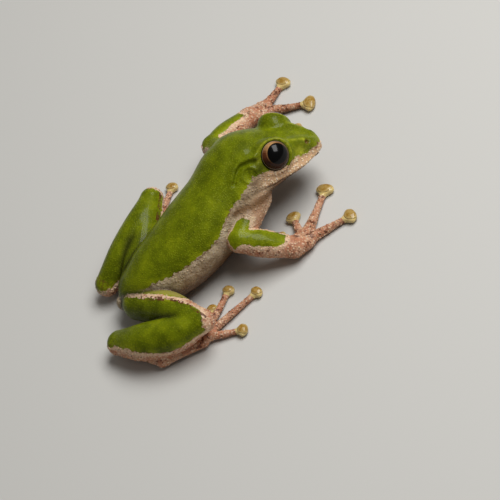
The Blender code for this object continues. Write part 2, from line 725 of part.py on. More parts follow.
def eye_node(side):
    """An eyeball as far as the lids show it: a dome on an oval cone with a flat back, turned round."""
    sides, rings, flat = 24, 6, 0.55
    profile = [(flat * math.tan(LID_OPENING), flat)]
    for ring in range(rings):
        angle = LID_OPENING * (1 - ring / rings)
        profile.append((EYE_RADIUS * math.sin(angle), EYE_RADIUS * math.cos(angle)))
    axis = unit(mirrored(EYE_AXIS, side))
    across = unit(np.cross((0, 0, 1), axis))
    rise = np.cross(axis, across)
    centre = np.array(mirrored(EYE, side))
    form = bmesh.new()

    def place(outwards, forwards, angle=0.0):
        offset = axis * forwards + outwards * (across * math.cos(angle) + rise * math.sin(angle))
        return form.verts.new((np.array(HEAD_CENTRE) + HEAD_AXES @ (centre + EYE_OVAL * offset)) * MM)

    rows = [[place(r, a, 2 * math.pi * k / sides) for k in range(sides)] for r, a in profile]
    back, front = place(0, flat), place(0, EYE_RADIUS)
    for k in range(sides):
        ahead = (k + 1) % sides
        form.faces.new((back, rows[0][ahead], rows[0][k]))
        form.faces.new((front, rows[-1][k], rows[-1][ahead]))
        for low, high in zip(rows, rows[1:]):
            form.faces.new((low[k], low[ahead], high[ahead], high[k]))
    bmesh.ops.recalc_face_normals(form, faces=form.faces)
    mesh = bpy.data.meshes.new(f"eye_{side}")
    form.to_mesh(mesh)
    form.free()
    mesh.shade_smooth()
    mesh.set_sharp_from_angle(angle=math.radians(40))
    mesh.materials.append(skin_material(f"eye_{side}_gloss", (0.03, 0.015, 0.01), 0.05))
    made = bpy.data.objects.new(f"eye_{side}", mesh)
    bpy.context.scene.collection.objects.link(made)


for leftover in list(bpy.data.objects):
    bpy.data.objects.remove(leftover)

body_node("torso")
body_node("head")
for flank in ("right", "left"):
    eye_node(flank)
    for limb in ("arm", "leg"):
        for part in LIMBS[flank, limb]:
            body_node(f"{part}_{flank}")
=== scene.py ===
"""A life-size still model of a small green tree frog, sitting low with its head turned.

The skin is one unbroken surface. It is described by the distance from any point to it, which is
worked out from chains of oval stations, one chain for each part of the body. Lengths are in
millimetres until a mesh is made, which is in metres. The frog faces +X, its left is +Y, and it
sits on the floor at z = 0.
"""

import math

import bpy
import numpy as np
from mathutils import Matrix, Vector


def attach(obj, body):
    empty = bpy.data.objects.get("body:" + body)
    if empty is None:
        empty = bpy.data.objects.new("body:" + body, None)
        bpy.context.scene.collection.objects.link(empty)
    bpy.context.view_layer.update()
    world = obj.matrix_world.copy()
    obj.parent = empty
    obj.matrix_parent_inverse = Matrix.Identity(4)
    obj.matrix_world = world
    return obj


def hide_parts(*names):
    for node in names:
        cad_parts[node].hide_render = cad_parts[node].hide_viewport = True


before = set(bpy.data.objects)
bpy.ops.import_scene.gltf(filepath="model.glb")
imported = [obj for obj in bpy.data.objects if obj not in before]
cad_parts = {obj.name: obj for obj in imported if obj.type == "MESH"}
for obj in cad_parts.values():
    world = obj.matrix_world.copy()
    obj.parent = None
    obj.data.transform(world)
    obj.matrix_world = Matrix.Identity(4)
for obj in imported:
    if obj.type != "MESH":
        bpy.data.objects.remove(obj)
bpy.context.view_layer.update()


# Trunk
# The back, flanks and belly are one tapering form, deepest at the chest, which the arms hold up.
# Its stations run from the vent to the neck: x, y, z, half width, half height.

MM = 0.001
FAR = 3.0
ROWS_A_SPAN = 16
FOOT_STEPS = 3
CORE = 0.02
LEAST_SLOPE = 1e-4
TRUNK = (
    (-6.9, 0.2, 2.6, 1.1, 1.0),
    (-5.3, 0.1, 3.0, 2.6, 2.2),
    (-2.6, -0.3, 3.3, 3.9, 3.4),
    (1.5, -0.5, 3.8, 4.9, 4.05),
    (5.8, -0.3, 4.7, 5.2, 4.25),
    (10.2, 0.3, 5.8, 4.8, 4.0),
    (13.8, 0.9, 7.0, 4.1, 3.3),
)
TRUNK_ROLL = math.radians(-6)
TRUNK_UP = np.array((0, -math.sin(TRUNK_ROLL), math.cos(TRUNK_ROLL)))


def unit(vector):
    vector = np.asarray(vector, dtype=float)
    return vector / np.linalg.norm(vector)


class Chain:
    """A smooth curve through oval stations: places with a half width and a half height."""

    def __init__(self, stations, up=(0, 0, 1)):
        knots = np.array(stations, dtype=float)
        ends = np.vstack([2 * knots[0] - knots[1], knots, 2 * knots[-1] - knots[-2]])
        t = np.arange(0, 1, 1 / ROWS_A_SPAN)[:, None]
        rows = [0.5 * (2 * start + (end - before) * t
                       + (2 * before - 5 * start + 4 * end - after) * t ** 2
                       + (3 * start - before - 3 * end + after) * t ** 3)
                for before, start, end, after in zip(ends, ends[1:], ends[2:], ends[3:])]
        self.rows = np.vstack(rows + [knots[-1:]])
        along = np.gradient(self.rows[:, :3], axis=0)
        pace = np.linalg.norm(along, axis=1)[:, None]
        along = along / pace
        side = np.cross(up, along)
        side /= np.linalg.norm(side, axis=1)[:, None]
        places, sizes = self.rows[:, :3], self.rows[:, 3:]
        self.table = np.hstack([places, along, pace, sizes, side, np.cross(along, side)])
        self.chord = unit(knots[-1, :3] - knots[0, :3])
        self.reach = FAR + sizes.max()

    def at(self, steps, columns):
        """Columns of the table at places between its rows."""
        low = np.minimum(steps.astype(int), len(self.table) - 2)
        share = (steps - low)[:, None]
        return self.table[low, :columns] * (1 - share) + self.table[low + 1, :columns] * share

    def foot(self, points):
        """How many rows along the curve each point's nearest place is."""
        passed = np.maximum.accumulate(self.rows[:, :3] @ self.chord)
        steps = np.interp(points @ self.chord, passed, np.arange(len(passed)))
        for _ in range(FOOT_STEPS):
            here = self.at(steps, 7)
            ahead = np.sum((points - here[:, :3]) * here[:, 3:6], axis=1)
            steps = np.clip(steps + ahead / here[:, 6], 0, len(passed) - 1)
        return steps

    def offsets(self, points):
        """Each point's share of the curve, its offsets forwards, left and up, and both half sizes."""
        steps = self.foot(points)
        here = self.at(steps, 15)
        offset = points - here[:, :3]
        turned = [np.sum(offset * here[:, k:k + 3], axis=1) for k in (3, 9, 12)]
        return steps / (len(self.table) - 1), *turned, here[:, 7], here[:, 8]

    def distance(self, points):
        """Distance from the points to the skin of the chain, up to FAR from it."""
        nearest = np.full(len(points), FAR)
        places = self.rows[:, :3]
        low, high = places.min(axis=0) - self.reach, places.max(axis=0) + self.reach
        near = np.nonzero(np.all((points > low) & (points < high), axis=1))[0]
        if not len(near):
            return nearest
        share, beyond, across, upwards, half_width, half_height = self.offsets(points[near])
        across, upwards, beyond = across / half_width, upwards / half_height, beyond / half_height
        ratio = np.sqrt(across ** 2 + upwards ** 2 + beyond ** 2)
        slope = np.sqrt((across / half_width) ** 2 + (upwards / half_height) ** 2
                        + (beyond / half_height) ** 2)
        inner = -np.minimum(half_width, half_height)
        distance = np.where(ratio < CORE, inner, ratio * (ratio - 1) / np.maximum(slope, LEAST_SLOPE))
        nearest[near] = np.minimum(distance, FAR)
        return nearest

    def girth(self, points, outwards):
        """Each point's share of the chain and its turn from the top, positive outwards."""
        share, beyond, across, upwards, half_width, half_height = self.offsets(points)
        middle = self.table[len(self.table) // 2, 9:12]
        return share, np.arctan2(across, upwards) * (1 if middle @ np.array(outwards) > 0 else -1)


TRUNK_CHAIN = Chain(TRUNK, TRUNK_UP)


# Head
# A broad flat head with a short rounded snout, turned to the frog's right. Its lids, lips, nostrils,
# eardrums, the fold above them and the mouth are pressed into or raised from the same surface.
# Places on it are in the head's own frame: x to the snout, y to its left, z to the crown.

SIDES = ("right", "left")
HEAD_CENTRE = np.array((18.65, 0.37, 7.38))
HEAD_TURN = math.radians(-28.5)
HEAD_NOD = math.radians(-12)
HEAD_TILT = math.radians(-17.5)
HEAD = (
    (-6.0, -1.3, -2.1, 3.4, 2.8),
    (-4.0, -0.3, -1.8, 4.4, 3.05),
    (-1.0, 0.0, -1.7, 4.35, 3.0),
    (1.8, 0.0, -1.45, 3.35, 2.4),
    (3.4, 0.0, -1.35, 2.2, 1.7),
    (4.05, 0.0, -1.35, 1.4, 1.2),
)
RIDGE = ((1.6, 2.0, 0.35, 0.75, 0.7), (3.95, 0.85, -0.55, 0.6, 0.55))
RIDGE_FILLET = 0.9
LIP_LINE = ((4.2, 0.0, -1.9), (3.75, 1.5, -2.05), (2.0, 3.1, -2.3), (-1.0, 4.3, -2.5),
            (-4.0, 4.7, -2.75))
LIP_RADIUS = 0.5
LIP_FILLET = 0.7
EYE_RADIUS = 1.95
EYE = (-0.13, 3.2, 0)
EYE_AXIS = (0.22, 0.88, 0.42)
EYE_OVAL = np.array((0.95, 1, 1))
LID_RADIUS = 2.17
LID_SHIFT = (0.12, 0, 0.03)
LID_OPENING = math.radians(66)
LID_FILLET = 0.4
LID_EDGE = 0.12
SOCKET_DEPTH = 1.5
SOCKET_WIDTH = 0.8
NOSTRIL = (3.72, 1.43, -0.05)
EARDRUM = (-3.2, 5.4, -0.75)
EARDRUM_RADIUS = 0.92
FOLD = ((-1.9, 4.55, 1.0), (-2.9, 4.4, 0.9), (-4.2, 4.45, 0.65), (-4.9, 5.0, 0.15), (-5.35, 5.75, -0.85))
CREASE = ((-1.88, 4.68, 0.55), (-3.0, 4.53, 0.44), (-4.15, 4.62, 0.17), (-4.75, 5.1, -0.35),
          (-5.2, 5.88, -1.24))
MOUTH_FRONT = -2.1
MOUTH_DROP = 1.0
MOUTH_SPAN = (4.8, -4.7)
MOUTH_LENGTH = 9
MOUTH_CURVE = 0.6
JAW_CORNER = (-5.0, 0.1)
WRINKLE_HEIGHT = 0.09
WRINKLE_STEP = 0.55
WRINKLES_BACK = (1.0, 1.0)
WRINKLES_UP = (1.0, 0.6)

# Heights or depths of the reliefs, and the half breadths that they fade over
NOSTRIL_RIM = (0.16, 0.62)
NOSTRIL_PIT = (0.6, 0.26)
FOLD_RELIEF = (0.25, 0.4)
CREASE_RELIEF = (0.34, 0.28)
EARDRUM_RIM = (0.14, 0.2)
MOUTH_GROOVE = (0.36, 0.17)
LIP_ROLL = (0.08, 0.25)
LIP_ROLL_RISE = 0.4


def head_axes():
    """The head's forward, left and up directions, as the columns of a matrix."""
    cos_turn, sin_turn = math.cos(HEAD_TURN), math.sin(HEAD_TURN)
    cos_nod, sin_nod = math.cos(HEAD_NOD), math.sin(HEAD_NOD)
    cos_tilt, sin_tilt = math.cos(HEAD_TILT), math.sin(HEAD_TILT)
    turn = np.array([[cos_turn, -sin_turn, 0], [sin_turn, cos_turn, 0], [0, 0, 1]])
    nod = np.array([[cos_nod, 0, -sin_nod], [0, 1, 0], [sin_nod, 0, cos_nod]])
    tilt = np.array([[1, 0, 0], [0, cos_tilt, -sin_tilt], [0, sin_tilt, cos_tilt]])
    return turn @ nod @ tilt


HEAD_AXES = head_axes()
HEAD_CHAIN = Chain(HEAD)


def in_head(points):
    return (points - HEAD_CENTRE) @ HEAD_AXES


def mirrored(place, side):
    """A place on the head's left, or its mirror image on the right."""
    return (place[0], place[1] if side == "left" else -place[1], place[2])


def on_side(route, side):
    return [mirrored(place, side) for place in route]


RIDGES = {side: Chain([mirrored(knot, side) + knot[3:] for knot in RIDGE]) for side in SIDES}
LIPS = {side: Chain([place + (LIP_RADIUS, LIP_RADIUS) for place in on_side(LIP_LINE, side)])
        for side in SIDES}


def merge(first, second, blend):
    """Union of two distances with a fillet as wide as the blend."""
    overlap = np.maximum(blend - np.abs(first - second), 0)
    return np.minimum(first, second) - overlap ** 2 / (4 * blend)


def merge_at(points, first, second, joint, fillets):
    """Union with a wide fillet round a joint and a tight crease away from it."""
    crease, fillet, spread = fillets
    away = np.sum((points - np.array(joint)) ** 2, axis=1) / spread ** 2
    return merge(first, second, crease + (fillet - crease) * np.exp(-away))


def carve(distance, cutter, blend):
    """Cut a form out of another, with a rounded edge."""
    return -merge(-distance, cutter, blend)


def relief(away, sizes):
    """A ridge by the distance from its middle: its height there, and the breadth it fades over."""
    height, breadth = sizes
    return height * np.exp(-(away / breadth) ** 2)


def mound(points, centre, sizes):
    """A bump by its height at the centre and the radius that it fades over."""
    height, radius = sizes
    away = np.sum((points - np.array(centre)) ** 2, axis=1)
    return height * np.exp(-away / radius ** 2)


def line_mound(points, route, sizes):
    """A ridge along a route of points, by its height and the radius that it fades over."""
    height, radius = sizes
    nearest = np.full(len(points), np.inf)
    for start, end in zip(route, route[1:]):
        start, end = np.array(start, dtype=float), np.array(end, dtype=float)
        step = end - start
        travelled = np.clip((points - start) @ step / (step @ step), 0, 1)
        away = np.sum((points - start - np.outer(travelled, step)) ** 2, axis=1)
        nearest = np.minimum(nearest, away)
    return height * np.exp(-nearest / radius ** 2)


def above_mouth(places):
    """Height above the mouth line, which drops towards the corners of the jaw."""
    back = np.clip((MOUTH_SPAN[0] - places[:, 0]) / MOUTH_LENGTH, 0.01, 1.2)
    return places[:, 2] - (MOUTH_FRONT - MOUTH_DROP * back ** MOUTH_CURVE)


def in_mouth(places):
    """1 along the mouth and 0 behind the corners of the jaw."""
    return 1 / (1 + np.exp((MOUTH_SPAN[1] - places[:, 0]) / 0.2))


def from_eye(places, side):
    """Offsets from the middle of an eye, stretched so that the oval eye becomes a round one."""
    return (places - np.array(mirrored(EYE, side))) / EYE_OVAL


def eye_cone(places, side):
    """Distance to the oval cone of a lid opening, whose tip is at the middle of the eye."""
    offset = from_eye(places, side)
    axis = unit(mirrored(EYE_AXIS, side))
    along = offset @ axis
    across = np.linalg.norm(offset - np.outer(along, axis), axis=1)
    return across * math.cos(LID_OPENING) - along * math.sin(LID_OPENING)


def from_eardrum(places, side):
    return np.linalg.norm(places - np.array(mirrored(EARDRUM, side)), axis=1)


def folds_and_drums(points):
    """How far the folds behind the eyes and the rims of the eardrums stand out, creases below 0."""
    places = in_head(points)
    raised = np.zeros(len(points))
    for side in SIDES:
        fold = line_mound(places, on_side(FOLD, side), FOLD_RELIEF)
        crease = line_mound(places, on_side(CREASE, side), CREASE_RELIEF)
        raised += fold - crease
        raised += relief(from_eardrum(places, side) - EARDRUM_RADIUS, EARDRUM_RIM)
    return raised


def wrinkles(points):
    """Small upright wrinkles behind the corners of the jaw."""
    places = in_head(points)
    above = above_mouth(places)
    behind = relief(places[:, 0] - JAW_CORNER[0], WRINKLES_BACK)
    behind = behind * relief(above - JAW_CORNER[1], WRINKLES_UP)
    return WRINKLE_HEIGHT * behind * np.sin(places[:, 0] * 2 * math.pi / WRINKLE_STEP + 2 * above)


def head_distance(points):
    """The head with its snout, lips, lids, nostrils and mouth line."""
    places = in_head(points)
    distance = HEAD_CHAIN.distance(places)
    for side in SIDES:
        distance = merge(distance, RIDGES[side].distance(places), RIDGE_FILLET)
        distance = merge(distance, LIPS[side].distance(places), LIP_FILLET)
        out = np.linalg.norm(from_eye(places - LID_SHIFT, side), axis=1)
        distance = merge(distance, (out - LID_RADIUS) * EYE_OVAL[0] ** 0.5, LID_FILLET)
        nostril = mirrored(NOSTRIL, side)
        distance = distance - mound(places, nostril, NOSTRIL_RIM)
        distance = distance + mound(places, nostril, NOSTRIL_PIT)
    above = above_mouth(places)
    distance = distance + relief(above, MOUTH_GROOVE) * in_mouth(places)
    return distance - relief(above - LIP_ROLL_RISE, LIP_ROLL) * in_mouth(places)


# Arms
# The right arm is folded at the elbow beside the chest, and the left one reaches forwards past the
# head. Each hand has four fingers that end in round adhesive discs, flat on the floor.

ARMS = {
    "right": {
        "shoulder": (12.0, -3.2, 5.2),
        "elbow": (7.8, -6.1, 4.8),
        "wrist": (12.2, -9.4, 1.6),
        "palm": (13.6, -9.0, 0.95),
        "tips": ((12.1, -5.7), (14.8, -4.4), (19.9, -4.2), (19.8, -10.2)),
    },
    "left": {
        "shoulder": (13.7, 4.6, 5.2),
        "elbow": (13.5, 10.1, 3.7),
        "wrist": (19.5, 12.3, 1.6),
        "palm": (20.9, 12.5, 0.95),
        "tips": ((20.6, 9.3), (22.6, 6.6), (26.2, 8.7), (25.8, 14.6)),
    },
}
ARM_SIZES = {"root": (1.9, 1.9), "upper_arm": (1.6, 1.65), "elbow": (1.35, 1.4), "forearm": (1.65, 1.65),
             "wrist": (1.3, 1.15), "palm": (1.5, 0.92), "knuckles": (1.35, 0.65)}
FINGER_DISCS = (0.75, 0.96, 1.17, 1.08)
FINGER_ROOTS = [0.66 * disc for disc in FINGER_DISCS]
FINGER_NECK = 0.42
DISC_HEIGHT = 0.46
DISC_THICKNESS = 0.53
KNUCKLE_DROP = 0.2

# Shares of the way along a digit, and of the radius of its root, neck or disc there
ROOT_TAPER = (0.3, 0.9)
JOINT_PAD = (0.55, 1.12)
WAIST = 0.75
COLLAR_BACK = 0.95
DISC_REAR = (0.35, 0.93)
DISC_FRONT = (0.12, 0.9, 0.93)


def stations(places, sizes, names):
    """The named places of a limb, each with its half width and half height."""
    return [(*places[name], *sizes[name]) for name in names]


def digit(start, tip, root, neck, disc):
    """A digit that tapers to its neck, with a joint pad and a flat round disc at its tip."""
    reach = unit((tip - start) * (1, 1, 0))
    collar = tip - reach * disc * COLLAR_BACK
    pad = start + JOINT_PAD[0] * (collar - start)
    waist = start + WAIST * (collar - start)
    slimmer, wider = root * ROOT_TAPER[1], neck * JOINT_PAD[1]
    return [(*start, root, root), (*(start + ROOT_TAPER[0] * (pad - start)), slimmer, slimmer),
            (*pad, wider, wider), (*waist, neck, neck), (*collar, neck, neck),
            (*(tip - reach * disc * DISC_REAR[0]), disc * DISC_REAR[1], DISC_THICKNESS),
            (*tip, disc, DISC_THICKNESS),
            (*(tip + reach * disc * DISC_FRONT[0]), disc * DISC_FRONT[1],
             DISC_FRONT[2] * DISC_THICKNESS)]


def digits(kind, middle, tips, roots, neck, discs):
    """The digits that spread from the middle of a hand or foot, by name."""
    chains = {}
    for number, (tip, root, disc) in enumerate(zip(tips, roots, discs), start=1):
        tip = np.array((*tip, DISC_HEIGHT))
        reach = unit((tip - middle) * (1, 1, 0))
        start = middle + reach - (0, 0, KNUCKLE_DROP)
        chains[f"{kind}_{number}"] = digit(start, tip, root, neck, disc)
    return chains


def arm_chains(arm):
    """Stations of the upper arm, forearm, hand and four fingers."""
    shoulder, elbow, wrist, palm = (np.array(arm[k]) for k in ("shoulder", "elbow", "wrist", "palm"))
    places = {
        "root": shoulder + 0.12 * (shoulder - elbow),
        "upper_arm": 0.5 * (shoulder + elbow),
        "elbow": elbow,
        "forearm": elbow + 0.4 * (wrist - elbow),
        "wrist": wrist,
        "palm": palm,
        "knuckles": palm + 0.8 * unit((palm - wrist) * (1, 1, 0)),
    }
    return {
        "upper_arm": stations(places, ARM_SIZES, ("root", "upper_arm", "elbow")),
        "forearm": stations(places, ARM_SIZES, ("elbow", "forearm", "wrist")),
        "hand": stations(places, ARM_SIZES, ("wrist", "palm", "knuckles")),
        **digits("finger", palm, arm["tips"], FINGER_ROOTS, FINGER_NECK, FINGER_DISCS),
    }


# Hind legs
# Thigh, shank and foot lie folded on one another beside the body, as in any frog at rest. Each foot
# has five toes, webbed at their roots, with discs a little smaller than the fingers'. The bows and
# the rise are how far a limb strays from the line between its joints: outwards, forwards or up.

LEGS = {
    "right": {
        "hip": (-5.6, -2.2, 2.8),
        "knee": (-1.7, -11.4, 3.9),
        "heel": (-10.5, -3.7, 1.9),
        "ankle": (-7.7, -9.2, 1.0),
        "sole": (-2.7, -10.7, 0.9),
        "tips": ((-1.1, -6.9), (0.4, -7.7), (3.3, -7.0), (5.6, -10.1), (1.4, -13.4)),
        "calf_bow": 0.9,
        "calf_rise": 0.0,
        "thigh_bow": 0.4,
    },
    "left": {
        "hip": (-4.2, 1.5, 2.7),
        "knee": (3.6, 9.5, 3.9),
        "heel": (-7.1, 5.1, 1.9),
        "ankle": (-2.6, 9.4, 1.0),
        "sole": (2.6, 9.2, 0.9),
        "tips": ((4.6, 5.4), (6.1, 6.0), (8.7, 5.9), (10.9, 8.4), (6.8, 12.6)),
        "calf_bow": -0.9,
        "calf_rise": 0.4,
        "thigh_bow": 0.0,
    },
}
LEG_SIZES = {"root": (1.9, 2.0), "thigh": (2.1, 2.2), "above_knee": (1.85, 1.95), "knee": (1.4, 1.45),
             "calf": (2.15, 2.15), "low_calf": (2.3, 2.2), "heel": (1.55, 1.4),
             "tarsus_root": (1.1, 1.15), "tarsus": (1.15, 1.1), "ankle": (1.15, 0.95),
             "instep": (1.2, 0.8), "sole": (1.4, 0.7)}
TOE_DISCS = (0.62, 0.72, 0.82, 0.87, 0.86)
TOE_ROOTS = [0.52] * len(TOE_DISCS)
TOE_NECK = 0.38


def leg_chains(leg):
    """Stations of the thigh, shank, tarsus, foot and five toes."""
    hip, knee, heel, ankle, sole = (np.array(leg[k]) for k in ("hip", "knee", "heel", "ankle", "sole"))
    forwards = np.sign(-hip[1]) * leg["thigh_bow"] * unit(np.cross((0, 0, 1), knee - hip))
    bow = np.sign(-hip[1]) * leg["calf_bow"] * unit(np.cross((0, 0, 1), heel - knee))
    bow = bow + (0, 0, leg["calf_rise"])
    places = {
        "root": hip + 0.05 * (hip - knee),
        "thigh": hip + 0.4 * (knee - hip) + forwards,
        "above_knee": hip + 0.75 * (knee - hip),
        "knee": knee,
        "calf": knee + 0.3 * (heel - knee) + bow,
        "low_calf": knee + 0.66 * (heel - knee) + bow,
        "heel": heel,
        "tarsus_root": heel,
        "tarsus": 0.5 * (heel + ankle),
        "ankle": ankle,
        "instep": 0.5 * (ankle + sole),
        "sole": sole,
    }
    return {
        "thigh": stations(places, LEG_SIZES, ("root", "thigh", "above_knee", "knee")),
        "shank": stations(places, LEG_SIZES, ("knee", "calf", "low_calf", "heel")),
        "tarsus": stations(places, LEG_SIZES, ("tarsus_root", "tarsus", "ankle")),
        "foot": stations(places, LEG_SIZES, ("ankle", "instep", "sole")),
        **digits("toe", sole, leg["tips"], TOE_ROOTS, TOE_NECK, TOE_DISCS),
    }


LIMBS = {}
for flank in SIDES:
    for chains in (arm_chains(ARMS[flank]), leg_chains(LEGS[flank])):
        for name, chain in chains.items():
            LIMBS[name, flank] = Chain(chain)


# Skin
# A real frog's skin has no seams, so one closed surface covers the body, the lids and every digit.
# It is drawn out of the distances as a fine mesh, pressed flat where the frog touches the floor.
# The sizes of a joint are the crease away from it, the fillet at it and how far that one spreads.

NECK_FILLET = 2.6
JOINTS = {
    "shoulder": (0.15, 1.6, 2.6), "elbow": (0.15, 0.8, 1.5), "wrist": (0.15, 0.6, 1.6),
    "palm": (0.12, 0.75, 2.0), "hip": (0.15, 1.3, 2.5), "knee": (0.12, 0.6, 1.5),
    "heel": (0.12, 0.7, 1.5), "ankle": (0.12, 0.6, 1.5), "sole": (0.12, 0.7, 1.9),
}
ARM_PARTS = [("forearm", "elbow"), ("hand", "wrist")] + [(f"finger_{k}", "palm") for k in (1, 2, 3, 4)]
LEG_PARTS = [("shank", "knee"), ("tarsus", "heel"), ("foot", "ankle")]
LEG_PARTS += [(f"toe_{k}", "sole") for k in (1, 2, 3, 4, 5)]
SKIN_STEP = 0.15
SKIN_TRIANGLES = 195000
TILE = 24
BLOCK = 4
CURL = 0.03
HEAD_BOX = ((-7.5, 6.5), (-6.5, 6.5), (-4.8, 3.2))
MARGIN = 1.0
GROUP_SIZE = 4.0
LEAST_SHARE = 1e-3
NUDGE = 0.02
LEAST_STEEP = 0.3


def part_distances(points):
    """Distance to each part of the body on its own."""
    distances = {"trunk": TRUNK_CHAIN.distance(points), "head": head_distance(points)}
    for limb, chain in LIMBS.items():
        distances[limb] = chain.distance(points)
    return distances


def joined(points, parts):
    """Distance to the skin over all the parts, cut off flat at the floor."""
    skin = merge(parts["trunk"], parts["head"], NECK_FILLET) - folds_and_drums(points) - wrinkles(points)
    for flank in SIDES:
        for places, root, first, others in ((ARMS[flank], "shoulder", "upper_arm", ARM_PARTS),
                                            (LEGS[flank], "hip", "thigh", LEG_PARTS)):
            limb = parts[first, flank]
            for name, joint in others:
                limb = merge_at(points, limb, parts[name, flank], places[joint], JOINTS[joint])
            skin = merge_at(points, skin, limb, places[root], JOINTS[root])
    return np.maximum(skin, -points[:, 2])


def skin_distance(points):
    """Distance to the finished skin, hollowed out where the eyes sit."""
    distance = joined(points, part_distances(points))
    places = in_head(points)
    for side in SIDES:
        cone = eye_cone(places, side)
        out = np.linalg.norm(from_eye(places, side), axis=1)
        cutter = np.maximum(np.maximum(cone, SOCKET_DEPTH - out), out - LID_RADIUS - SOCKET_WIDTH)
        distance = carve(distance, cutter, LID_EDGE)
    return distance


def values_near_skin(axes):
    """Skin distance on a grid, worked out point by point only in blocks near the skin."""
    counts = [len(axis) for axis in axes]
    values = np.full(counts, 1.0)
    reach = 1.5 * SKIN_STEP * (BLOCK - 1) * math.sqrt(3) / 2
    for corner in np.ndindex(*[-(-count // TILE) for count in counts]):
        spans = [axis[place * TILE:(place + 1) * TILE] for axis, place in zip(axes, corner)]
        middles = [span[::BLOCK] + SKIN_STEP * (BLOCK - 1) / 2 for span in spans]
        coarse = np.stack(np.meshgrid(*middles, indexing="ij"), axis=-1)
        tile = skin_distance(coarse.reshape(-1, 3)).reshape(coarse.shape[:3])
        for axis in range(3):
            tile = np.repeat(tile, BLOCK, axis=axis)
        tile = tile[:len(spans[0]), :len(spans[1]), :len(spans[2])].copy()
        near = np.argwhere(np.abs(tile) < reach)
        if len(near):
            points = np.stack([spans[axis][near[:, axis]] for axis in range(3)], axis=1)
            tile[tuple(near.T)] = skin_distance(points)
        window = (slice(place * TILE, place * TILE + len(span)) for place, span in zip(corner, spans))
        values[tuple(window)] = tile
    return values


def layers(array, ends):
    """An array without its last layer (0) or its first (1) along each axis that is given."""
    spans = [slice(None)] * 3
    for axis, end in ends.items():
        spans[axis] = slice(1, None) if end else slice(None, -1)
    return array[tuple(spans)]


def settle_corners(inside):
    """Turn off a corner wherever two inside corners touch only across the diagonal of a face."""
    changed = True
    while changed:
        changed = False
        for one, two in ((0, 1), (0, 2), (1, 2)):
            a, b, c, d = (layers(inside, {one: x, two: y}) for x, y in ((0, 0), (1, 0), (0, 1), (1, 1)))
            for pair, others in (((a, d), (b, c)), ((b, c), (a, d))):
                crossed = pair[0] & pair[1] & ~others[0] & ~others[1]
                if crossed.any():
                    pair[0][crossed] = False
                    changed = True
    return inside


def drawn_out(values, low):
    """One vertex in each grid cell that the skin crosses, and a quad across each crossed edge."""
    inside = settle_corners(values < 0)
    least = LEAST_SHARE * SKIN_STEP
    values = np.where(inside, np.minimum(values, -least), np.maximum(values, least))
    cells = tuple(np.array(values.shape) - 1)
    total = np.zeros(cells + (3,))
    crossings = np.zeros(cells)
    for axis in range(3):
        a, b = layers(values, {axis: 0}), layers(values, {axis: 1})
        crossed = (a < 0) != (b < 0)
        share = np.where(crossed, a / np.where(crossed, a - b, 1), 0)
        one, two = [other for other in range(3) if other != axis]
        for shift_one, shift_two in ((0, 0), (0, 1), (1, 0), (1, 1)):
            shifts = {one: shift_one, two: shift_two}
            mask = layers(crossed, shifts)
            crossings += mask
            total[..., axis] += np.where(mask, layers(share, shifts), 0)
            total[..., one] += mask * shift_one
            total[..., two] += mask * shift_two
    used = crossings > 0
    numbers = np.full(cells, -1)
    numbers[used] = np.arange(used.sum())
    vertices = low + SKIN_STEP * (np.argwhere(used) + total[used] / crossings[used][:, None])
    quads = []
    step = np.eye(3, dtype=int)
    for axis in range(3):
        one, two = step[(axis + 1) % 3], step[(axis + 2) % 3]
        core = inside[tuple(slice(None) if other == axis else slice(1, -1) for other in range(3))]
        a, b = layers(core, {axis: 0}), layers(core, {axis: 1})
        for crossed, order in ((a & ~b, (0, 1, 2, 3)), (~a & b, (0, 3, 2, 1))):
            place = np.argwhere(crossed)
            ring = [numbers[tuple((place + shift).T)] for shift in (0 * one, one, one + two, two)]
            quads.append(np.stack([ring[k] for k in order], axis=1))
    return vertices, np.concatenate(quads)


def in_groups(function, points):
    """Run a function of points on one small cube of space at a time, so that far parts drop out."""
    cubes = np.floor(points / GROUP_SIZE).astype(int)
    order = np.lexsort(cubes.T)
    breaks = np.nonzero(np.any(np.diff(cubes[order], axis=0), axis=1))[0] + 1
    results = np.empty(len(points))
    for group in np.split(order, breaks):
        results[group] = function(points[group])
    return results


def pressed_onto_skin(vertices):
    """Move each vertex along the slope of the distance until it lies on the skin."""
    here = in_groups(skin_distance, vertices)
    slope = np.stack([in_groups(skin_distance, vertices + NUDGE * np.eye(3)[axis]) - here
                      for axis in range(3)], axis=1) / NUDGE
    steep = np.maximum(np.sum(slope ** 2, axis=1), LEAST_STEEP)
    step = np.clip(here / steep, -0.5 * SKIN_STEP, 0.5 * SKIN_STEP)
    return vertices - slope * step[:, None]


def placed(name, data):
    """A new object in the scene."""
    piece = bpy.data.objects.new(name, data)
    bpy.context.scene.collection.objects.link(piece)
    return piece


def worked_out(carrier, name):
    """The mesh that an object's modifiers make of it, in place of the object."""
    mesh = bpy.data.meshes.new_from_object(carrier.evaluated_get(bpy.context.evaluated_depsgraph_get()))
    bpy.data.objects.remove(carrier)
    mesh.name = name
    return mesh


